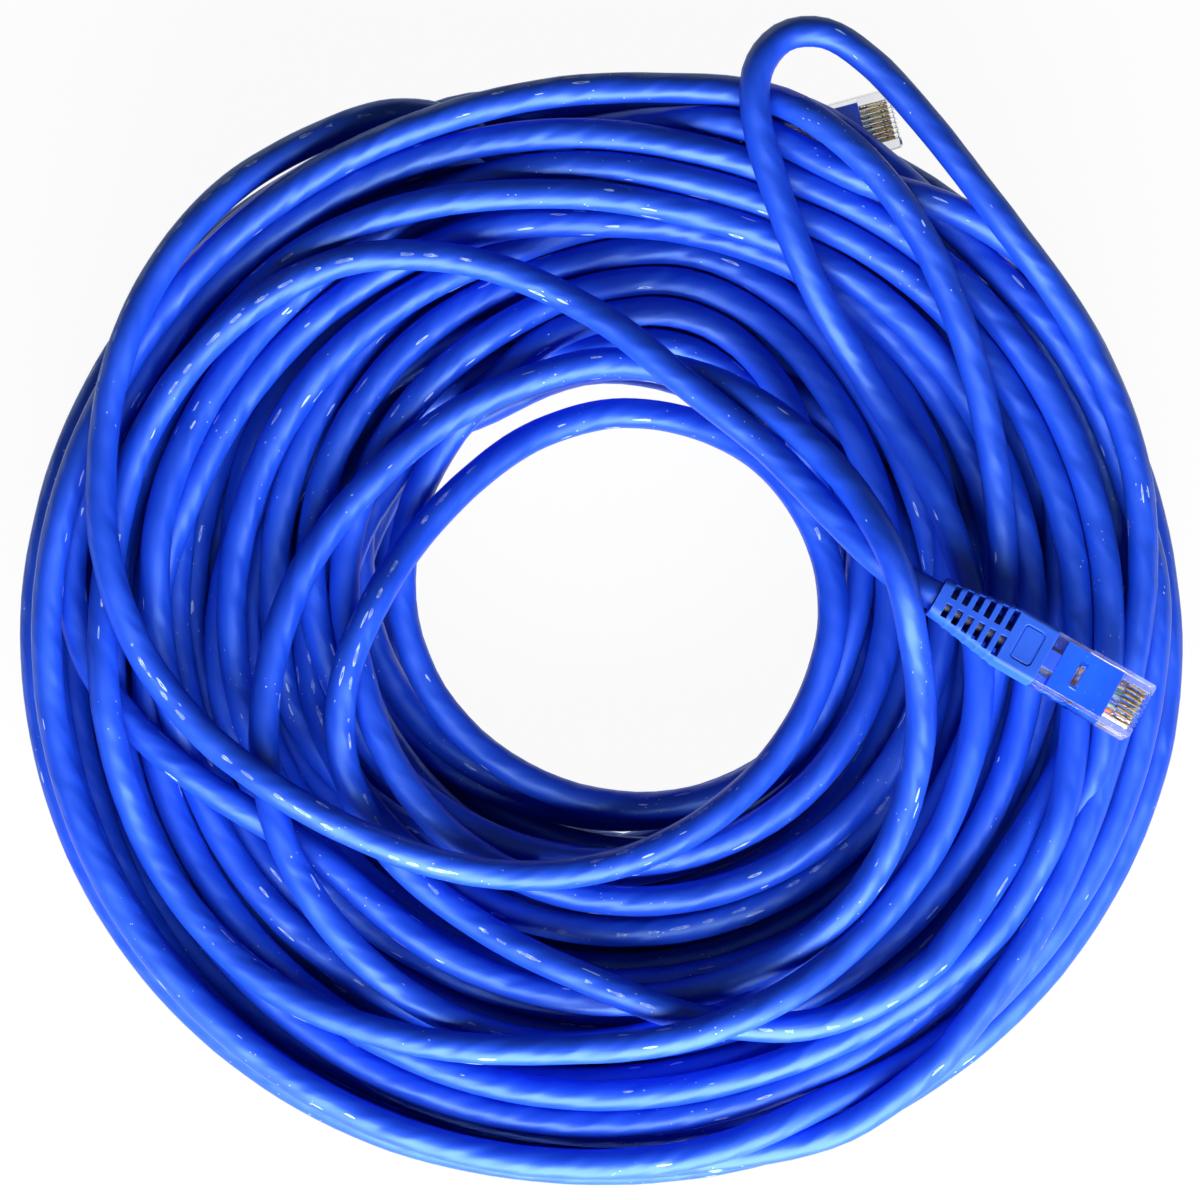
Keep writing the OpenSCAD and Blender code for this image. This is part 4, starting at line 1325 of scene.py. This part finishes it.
# %% Housing
def housing_cuts(bm):
    """Everything that is cut from the housing's block."""
    prism(bm, box_outline(-HOLLOW_W / 2, -HOLLOW_H / 2, HOLLOW_W / 2, HOLLOW_H / 2), -PAST, HOLLOW_L, "x")
    half = WIRE_D / 2 + FIT
    channel = box_outline(-ROW_HALF - FIT, ROW_Z - half, ROW_HALF + FIT, ROW_Z + half)
    prism(bm, channel, HOLLOW_L - PAST, BLADE_FRONT, "x")
    back, front = BLADE_BACK - SLOT_FIT, BLADE_FRONT + SLOT_FIT
    slot = [(back, ROW_Z), (front, ROW_Z), (front, SLOT_FLOOR), (PLUG_L + PAST, SLOT_FLOOR),
            (PLUG_L + PAST, HALF_H + PAST), (back, HALF_H + PAST)]
    half = BLADE_T / 2 + SLOT_FIT
    for y in LANES:
        prism(bm, slot, y - half, y + half, "y")
    prism(bm, box_outline(*WINDOW), 0, HALF_H + PAST, "z")
    half = LATCH_WIDE / 2 + ROOT_FIT
    prism(bm, circle(ROOT_R + ROOT_FIT, 20, (HINGE_X, HINGE_Z)), -half, half, "y")


def step_cuts(bm):
    """The side walls step in along the rear of the housing."""
    for side in (-1, 1):
        low, high = sorted((side * (PLUG_W / 2 - STEP_IN), side * (PLUG_W / 2 + PAST)))
        prism(bm, box_outline(-PAST, low, STEP_L, high), STEP_TOP, HALF_H + PAST, "z")
        prism(bm, box_outline(-PAST, low, STEP_L, high), -HALF_H - PAST, STEP_LOW, "z")


def pockets(bm):
    """A shallow pocket behind each blade."""
    for y in LANES:
        hollow = box_outline(HOLLOW_L + 0.25, y - 0.3, BLADE_BACK - 0.3, y + 0.3)
        prism(bm, hollow, HALF_H - 0.45, HALF_H + PAST, "z")


# %% Two finishes on one piece
def two_tone(obj, plug, first, second, chosen, *borders):
    """Gives the second finish to the faces that are chosen by their middle, in the plug's own millimetres.

    Faces are first split where they cross a border, given as a point and a direction.
    """
    there = plug_matrix(plug)
    back = there.inverted()
    bm = bmesh.new()
    bm.from_mesh(obj.data)
    bm.transform(back)
    for point, normal in borders:
        everything = bm.verts[:] + bm.edges[:] + bm.faces[:]
        bmesh.ops.bisect_plane(bm, geom=everything, plane_co=point, plane_no=normal)
    bm.transform(there)
    bm.to_mesh(obj.data)
    bm.free()
    if borders:
        evened(obj)
    obj.data.materials.clear()
    for material in (first, second):
        obj.data.materials.append(material)
    for face in obj.data.polygons:
        face.material_index = int(chosen(back @ face.center))
    print(obj.name, "faces with", second.name, sum(f.material_index for f in obj.data.polygons))


NOSE_X = HOLLOW_L + 0.1
WALL_Y, COMB_Y = PLUG_W / 2 - SIDE_WALL + 0.05, LANES[-1] + 0.45


def looks_milky(p):
    """Whether a place on the housing is a corner of the nose, the top of a side wall or the bar."""
    corner = p.x > NOSE_X and abs(p.y) > COMB_Y
    wall = abs(p.y) > WALL_Y and p.z > HALF_H - 0.3
    bar = 6.5 < p.x < 8.3 and abs(p.y) < BAR_HALF + 0.05 and 0.9 < p.z < HOLLOW_H / 2 - 0.1
    return corner or wall or bar


def housing(plug, name, body, node):
    corners = [(x + PLUG_L / 2, y) for x, y in rounded(PLUG_L, PLUG_W, NOSE_R) if x > 0]
    half = len(corners) // 2
    outline = corners[:half] + [(0, PLUG_W / 2), (0, -PLUG_W / 2)] + corners[half:]
    shell = solid(name, prism, outline, -HALF_H, HALF_H)
    combined(shell, "DIFFERENCE", "cuts", housing_cuts)
    combined(shell, "DIFFERENCE", "steps", step_cuts)
    combined(shell, "DIFFERENCE", "pockets", pockets)
    combined(shell, "UNION", "bar", prism, BAR, -BAR_HALF, BAR_HALF, "y")
    finished(softened(shell, HOUSING_EDGE), name, plug, clear_plastic, body, "clear_plastic", node)
    sides = [((0, y, 0), (0, 1, 0)) for y in (WALL_Y, -WALL_Y, COMB_Y, -COMB_Y)]
    two_tone(shell, plug, clear_plastic, milky_plastic, looks_milky, ((NOSE_X, 0, 0), (1, 0, 0)), *sides)


for k, plug in PLUGS.items():
    housing(plug, f"housing_{k}_clear", "cable", f"housing_{k}")

# %% [markdown]
# ## The latch
#
# A thin springy arm that leaves the housing near the nose, is wide as far as
# its two locking shoulders and ends in a narrow thumb tab under the boot's
# hood. It is drawn from the side, as a strip of even thickness that bends away
# from the housing, and its tab gets three small grip ridges. It turns about
# its root when it is pressed, so it rides on a body of its own.


# %% Latch
LATCH_L, LATCH_T, LATCH_REST = 15.2, 1.0, 11.0
LATCH_WIDE_L, TAB_W, TAB_LAP, LATCH_EDGE = 7.4, 3.2, 0.5, 0.1
RIDGES, RIDGE_HALF, RIDGE_MARGIN = (1.0, 2.2, 3.4), 0.3, 0.3


def tilted(x, z):
    """A point of the latch, measured from its hinge, turned by its angle at rest."""
    a = math.radians(LATCH_REST)
    return HINGE_X + x * math.cos(a) - z * math.sin(a), HINGE_Z + x * math.sin(a) + z * math.cos(a)


def strip(first, last):
    """A stretch of the latch from the side, between two distances from its hinge."""
    return [tilted(x, z) for x, z in ((-first, 0), (-last, 0), (-last, -LATCH_T), (-first, -LATCH_T))]


def ridges(bm):
    """Grooves that leave grip ridges on the tab."""
    for x in RIDGES:
        corners = ((-RIDGE_HALF, 0.18), (RIDGE_HALF, 0.18), (RIDGE_HALF, -0.02), (-RIDGE_HALF, -0.02))
        side = [tilted(x - LATCH_L + u, -LATCH_T + v) for u, v in corners]
        prism(bm, side, -TAB_W / 2 + RIDGE_MARGIN, TAB_W / 2 - RIDGE_MARGIN, "y")


def latch(plug, name, body, node):
    arm = solid(name, prism, strip(0, LATCH_WIDE_L), -LATCH_WIDE / 2, LATCH_WIDE / 2, "y")
    tab = strip(LATCH_WIDE_L - TAB_LAP, LATCH_L)
    combined(arm, "UNION", "tab", prism, tab, -TAB_W / 2, TAB_W / 2, "y")
    root = circle(ROOT_R, 20, (HINGE_X, HINGE_Z))
    combined(arm, "UNION", "root", prism, root, -LATCH_WIDE / 2, LATCH_WIDE / 2, "y")
    combined(arm, "DIFFERENCE", "ridges", ridges)
    finished(softened(arm, LATCH_EDGE), name, plug, clear_plastic, body, "clear_plastic", node)


for k, plug in PLUGS.items():
    latch(plug, f"latch_{k}_clear", f"latch_{k}", f"latch_{k}")

# %% [markdown]
# ## The boot
#
# The boot is lofted through rounded sections. Its tail is thin and has six
# slots on each side of a spine, so that it bends with the cord; between the
# slots its sides bulge a little, which gives the scalloped edge. The collar
# stays plain but for one shallow panel with round corners, left blank. A hood
# on the underside reaches over the end of the latch.

# %% Boot
COLLAR_L, COLLAR_H = 8.5, 8.2
TAIL_W, TAIL_H, TAIL_PLAIN_L = 7.6, 7.4, 1.1
TAPER_L = BOOT_L - COLLAR_L
SLOTS, SLOT_W, SPINE_W, RAIL_T = 6, 1.25, 1.3, 0.7
SLOT_PITCH = (TAPER_L - TAIL_PLAIN_L) / SLOTS
SLOT_AT = [-COLLAR_L - SLOT_W - k * SLOT_PITCH for k in range(SLOTS)]
SCALLOP, FRONT_STEP, BOOT_EDGE = 0.34, 0.12, 0.11
TAIL_ROUND, ROUND_LOST = 1.7, 0.7
PANEL_L, PANEL_W = 4.6, 7.4
PANEL_DEEP, PANEL_GROOVE, PANEL_FLOOR = 0.3, 0.7, 0.14
HOOD_W, HOOD_REACH, HOOD_T = 8.4, 6.3, 1.2
LATCH_HANG = math.radians(LATCH_REST)
HOOD_IN = HINGE_Z - LATCH_L * math.sin(LATCH_HANG) - LATCH_T * math.cos(LATCH_HANG) - 0.3
HOOD_OUT = HOOD_IN - HOOD_T
HOOD_FOOT = -COLLAR_H / 2 + 0.6
HOOD = [
    (-COLLAR_L, HOOD_FOOT), (-COLLAR_L + 2.2, HOOD_OUT + 0.8), (-COLLAR_L + 4, HOOD_OUT),
    (HOOD_REACH - 0.3, HOOD_OUT), (HOOD_REACH, HOOD_OUT + 0.3), (HOOD_REACH, HOOD_IN),
    (-COLLAR_L + 7.5, HOOD_IN), (-COLLAR_L + 7.5, HOOD_FOOT),
]


def boot_width(x):
    """Width of the boot at a place along it."""
    return TAIL_W + (PLUG_W - TAIL_W) * min(1.0, max(0.0, (x + BOOT_L) / TAPER_L))


def boot_skin(bm):
    """The boot's outside, from tail to housing. Its sides are a little narrower beside the slots."""
    beside = [x + f * SLOT_PITCH for x in SLOT_AT[::-1] for f in (0, 0.27, 0.54, 0.77)]
    sections = []
    for x in [-BOOT_L] + beside + [-COLLAR_L + 0.4, -0.3, 0]:
        share = min(1.0, (x + BOOT_L) / TAPER_L)
        in_slot = x <= -COLLAR_L and any(a - 0.01 <= x <= a + SLOT_W + 0.1 for a in SLOT_AT)
        less = FRONT_STEP if x == 0 else 0
        width = boot_width(x) - (SCALLOP if in_slot else 0.0) - less
        height = TAIL_H + (COLLAR_H - TAIL_H) * share - less
        sections.append((x, rounded(width, height, TAIL_ROUND - ROUND_LOST * share)))
    loft(bm, sections)


def boot_cuts(bm):
    """The bore and the slots."""
    prism(bm, circle(CORD_R + FIT, 40), -BOOT_L - PAST, PAST, "x")
    for x in SLOT_AT:
        for side in (-1, 1):
            low, high = sorted((side * SPINE_W / 2, side * (boot_width(x) / 2 - RAIL_T)))
            prism(bm, box_outline(x, low, x + SLOT_W, high), -COLLAR_H, COLLAR_H, "z")


def panel_outline(less, radius):
    """The panel in the middle of the collar, or a smaller one inside it."""
    return [(u - COLLAR_L / 2, v) for u, v in rounded(PANEL_L - less, PANEL_W - less, radius)]


def boot(plug, name, body, node):
    piece, top = solid(name, boot_skin), COLLAR_H / 2
    combined(piece, "UNION", "hood", prism, HOOD, -HOOD_W / 2, HOOD_W / 2, "y")
    combined(piece, "DIFFERENCE", "cuts", boot_cuts)
    combined(piece, "DIFFERENCE", "panel", prism, panel_outline(0, 0.9), top - PANEL_DEEP, COLLAR_H)
    combined(piece, "UNION", "field", prism, panel_outline(PANEL_GROOVE, 0.6),
             top - 2 * PANEL_DEEP, top - PANEL_FLOOR)
    finished(softened(piece, BOOT_EDGE), name, plug, boot_blue, body, "boot_plastic", node)


for k, plug in PLUGS.items():
    boot(plug, f"boot_{k}_ribbed", "cable", f"boot_{k}")

# %% [markdown]
# ## Blades
#
# Eight equal gold blades stand in a row, which is a job for Geometry Nodes: a
# line of points, one blade on each, and the result made real. A blade is drawn
# from the side, with a rounded front top corner where it meets the socket's
# spring wire, and two tines that pierce the wire under it.


# %% The tree that repeats a piece along a row
def row_tree():
    tree, given, end = new_group(
        "row of pieces", "GeometryNodeTree",
        [("Piece", "Geometry"), ("Count", "Int", 8), ("Pitch", "Float", 1.02), ("Finish", "Material")],
        [("Row", "Geometry")])
    half = maths(tree, "MULTIPLY", maths(tree, "SUBTRACT", given["Count"], 1.0), -0.5)
    first = put(tree, "ShaderNodeCombineXYZ", Y=maths(tree, "MULTIPLY", half, given["Pitch"]))
    step = put(tree, "ShaderNodeCombineXYZ", Y=given["Pitch"])
    line = put(tree, "GeometryNodeMeshLine", mode="OFFSET", count_mode="TOTAL", Count=given["Count"],
               Start_Location=first, Offset=step)
    copies = put(tree, "GeometryNodeInstanceOnPoints", Points=line, Instance=given["Piece"])
    real = put(tree, "GeometryNodeRealizeInstances", copies)
    feed(tree, end, put(tree, "GeometryNodeSetMaterial", Geometry=real, Material=given["Finish"]))
    return tree


ROW = row_tree()
print("nodes in the row's tree:", len(ROW.nodes))


# %% Blades of both plugs
TINE_TOP, TINE_TIP, TINE_W, TINE_POINT = BLADE_TOP - 2.5, ROW_Z - WIRE_D / 4, 0.8, 0.3
FRONT_R, REAR_R, BLADE_EDGE = 0.5, 0.25, 0.05


def tine(x):
    """A pointed tine from the side, that starts at x."""
    return [(x, TINE_TOP), (x, TINE_TIP + TINE_POINT), (x + TINE_W / 2, TINE_TIP),
            (x + TINE_W, TINE_TIP + TINE_POINT), (x + TINE_W, TINE_TOP)]


def blade_side():
    """One blade from the side: (along the plug, up)."""
    tines = tine(BLADE_BACK + TINE_W / 2) + tine(BLADE_FRONT - TINE_W * 1.5)
    foot = [(BLADE_BACK, TINE_TOP), *tines, (BLADE_FRONT, TINE_TOP)]
    front = [(BLADE_FRONT - FRONT_R + FRONT_R * math.cos(a), BLADE_TOP - FRONT_R + FRONT_R * math.sin(a))
             for a in np.radians([0, 22, 45, 68, 90])]
    rear = [(BLADE_BACK + REAR_R - REAR_R * math.sin(a), BLADE_TOP - REAR_R + REAR_R * math.cos(a))
            for a in np.radians([0, 45, 90])]
    return foot + front + rear


for k, plug in PLUGS.items():
    blade = softened(solid("blade", prism, blade_side(), -BLADE_T / 2, BLADE_T / 2, "y"), BLADE_EDGE)
    row = baked_nodes(blade, ROW, f"blades_{k}", Count=8, Pitch=PITCH, Finish=gold)
    contacts = [f"contact_{k}{i}" for i in range(1, 9)]
    finished(row, f"blades_{k}", plug, gold, "cable", "gold_contact", *contacts)

# %% [markdown]
# ## Wires, moulding and the pieces inside
#
# The eight wires leave the jacket in two rows, fan out and run in one flat row
# under the blades; each is a thin skin swept along its own line with the same
# tree as the cord. The inner moulding, the wire guide, the separator and the
# jacket's end have the right shapes as solids already. The moulding gets soft
# edges, because it shows through the clear walls, and so does the jacket's end;
# the guide and the separator get only a finish. Where the jacket's end lies in
# the boot it is coloured near black, which is painted shade.

# %% Wires
SEPARATOR_T, GUIDE_L = 0.35, 4.4
PAIR_Z = SEPARATOR_T / 2 + WIRE_D / 2 + FIT
PAIR_OUT = PAIR_Z + WIRE_D + FIT
GUIDE_X = HOLLOW_L - 2 * FIT - GUIDE_L
JACKET_END_X = BAND_GAP + BAND_L - 4 * FIT
FAN_X = 8.4


def wire_line(i):
    """The line of wire i from the nose back into the jacket."""
    lane = LANES[i]
    across = math.copysign(PAIR_OUT if i in (0, 7, 2, 5) else PAIR_Z, lane)
    level = PAIR_Z if i < 2 or i > 5 else -PAIR_Z
    in_row = [(x, lane, ROW_Z) for x in (BLADE_FRONT - 0.1, GUIDE_X + 2, GUIDE_X)]
    fan = [(FAN_X + 0.5, lane * 0.97 + across * 0.03, ROW_Z + (level - ROW_Z) * 0.8),
           (FAN_X - 0.5, lane * 0.8 + across * 0.2, level)]
    in_jacket = [(x, across, level) for x in (JACKET_END_X, -2, -12, -BOOT_L + 0.5)]
    return through(in_row + fan + in_jacket, 0.6)


for k, plug in PLUGS.items():
    for i, ((slot, _), coat) in enumerate(zip(WIRES, wire_finishes)):
        line = string_of_edges("thread", wire_line(i))
        thread = baked_nodes(line, SKIN, "thread", Radius=WIRE_D / 2 - 0.02, Sides=12,
                             Lump_height=0.0, Lump_length=1.0, Seed=1.0, Finish=coat)
        finished(thread, f"wire_{k}{i + 1}_coloured", plug, coat, "cable", slot, f"wire_{k}{i + 1}")


# %% Moulding, guide, separator and jacket end
def softened_node(node, width, name, *rest):
    """A copy of a solid with its edges rounded, which then stands for it."""
    copy = placed(name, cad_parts[node].data.copy())
    copy.data.transform(Matrix.Scale(1 / MM, 4))
    softened(copy, width)
    copy.data.transform(Matrix.Scale(MM, 4))
    dressed(copy, name, *rest, node)
    return copy


MOULD_EDGE, JACKET_EDGE, PRESSED_FROM = 0.08, 0.15, -0.9

for k, plug in PLUGS.items():
    softened_node(f"inner_mould_{k}", MOULD_EDGE, f"inner_mould_{k}_soft", mould_blue,
                  "cable", "boot_plastic")
    end = softened_node(f"jacket_end_{k}", JACKET_EDGE, f"jacket_end_{k}_pressed", jacket_painted_shade,
                        "cable", "cord_jacket")
    # Behind PRESSED_FROM, inside the boot, the end keeps the near-black finish, which is painted shade; in
    # front of that it gets the jacket's blue.
    two_tone(end, plug, jacket_painted_shade, jacket_pressed, lambda p: p.x > PRESSED_FROM)
    for node, material in ((f"wire_guide_{k}", clear_plastic), (f"separator_{k}", white_plastic)):
        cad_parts[node].data.materials.clear()
        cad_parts[node].data.materials.append(material)
print("pieces inside the plugs are dressed")

# %% [markdown]
# ## Floor, surroundings and light
#
# The object lies on a plain pale floor that meets a white background. What the
# camera sees of both has to stay bright, and what lights the object has to stay
# dim, or the deep shade between the strands would fill up. So both ask what
# kind of ray has arrived. The background is white for the camera and for rays
# that pass straight through clear plastic, a little bright in reflections, and
# nearly black for everything else. The floor glows almost white for the same
# rays and keeps a share of its own shade, which is where its shadow shows.
#
# One large lamp stands low in front of the object, so that each strand is
# bright along its near side and dark behind. A second one above only lifts the
# darkest parts.

# %% Background
WHITE = (1, 1, 1, 1)
DIM, IN_REFLECTIONS = 0.01, 0.2

world = bpy.data.worlds.new("world")
bpy.context.scene.world = world
world.use_nodes = True
tree = world.node_tree
rays = put(tree, "ShaderNodeLightPath").outputs
dim = tree.nodes["Background"]
feed(tree, dim, WHITE, DIM)
bright = put(tree, "ShaderNodeBackground", WHITE, 1.0)
# A ray that was reflected inside clear plastic on its way doesn't count as straight
straight = maths(tree, "LESS_THAN", rays["Glossy Depth"], 0.5)
through_plastic = maths(tree, "MULTIPLY", rays["Is Transmission Ray"], straight)
seen = maths(tree, "MAXIMUM", rays["Is Camera Ray"], through_plastic)
reflected = maths(tree, "MULTIPLY", rays["Is Glossy Ray"], IN_REFLECTIONS)
either_shader(tree, maths(tree, "MAXIMUM", seen, reflected), dim, bright, "World Output")
bpy.context.scene.view_settings.view_transform = "Standard"
print("background nodes:", len(tree.nodes))

# %% Floor
FLOOR_HALF = 3
FLOOR_GLOW = 0.95

floor_mesh = bpy.data.meshes.new("floor")
floor_mesh.from_pydata([(x, y, 0) for x, y in box_outline(-FLOOR_HALF, -FLOOR_HALF, FLOOR_HALF, FLOOR_HALF)],
                       [], [(0, 1, 2, 3)])
floor = placed("floor", floor_mesh)
pale, tree, shader = new_material("floor")
feed(tree, shader, Base_Color=(0.8, 0.8, 0.8, 1), Roughness=0.9)
rays = put(tree, "ShaderNodeLightPath").outputs
seen = maths(tree, "MAXIMUM", rays["Is Camera Ray"], rays["Is Glossy Ray"])
seen = maths(tree, "MAXIMUM", seen, rays["Is Transmission Ray"])
glow = put(tree, "ShaderNodeEmission", Strength=1.0)
either_shader(tree, maths(tree, "MULTIPLY", seen, FLOOR_GLOW), shader, glow, "Material Output")
floor_mesh.materials.append(pale)
print("floor in m:", 2 * FLOOR_HALF)


# %% Lamps
def area_light(name, at, size, power, aim=(0, 0, 0.02)):
    """A square soft lamp that looks at a point."""
    data = bpy.data.lights.new(name, "AREA")
    data.shape, data.size, data.energy = "SQUARE", size, power
    lamp = placed(name, data)
    lamp.location = at
    lamp.rotation_euler = (Vector(aim) - Vector(at)).to_track_quat("-Z", "Y").to_euler()
    print("lamp", name, "at", at)


area_light("key", (0.06, -0.56, 0.33), 0.7, 17)
area_light("fill", (-0.2, 0.1, 1.5), 1.6, 0.34)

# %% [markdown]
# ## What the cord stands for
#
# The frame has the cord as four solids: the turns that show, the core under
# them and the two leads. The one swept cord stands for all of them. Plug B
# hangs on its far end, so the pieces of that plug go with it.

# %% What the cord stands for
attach(cord, "cable")
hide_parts("coil_turns", "coil_core", "lead_a", "lead_b")
tuple(cord_line[0])
[tuple(p) for p in cord_line]
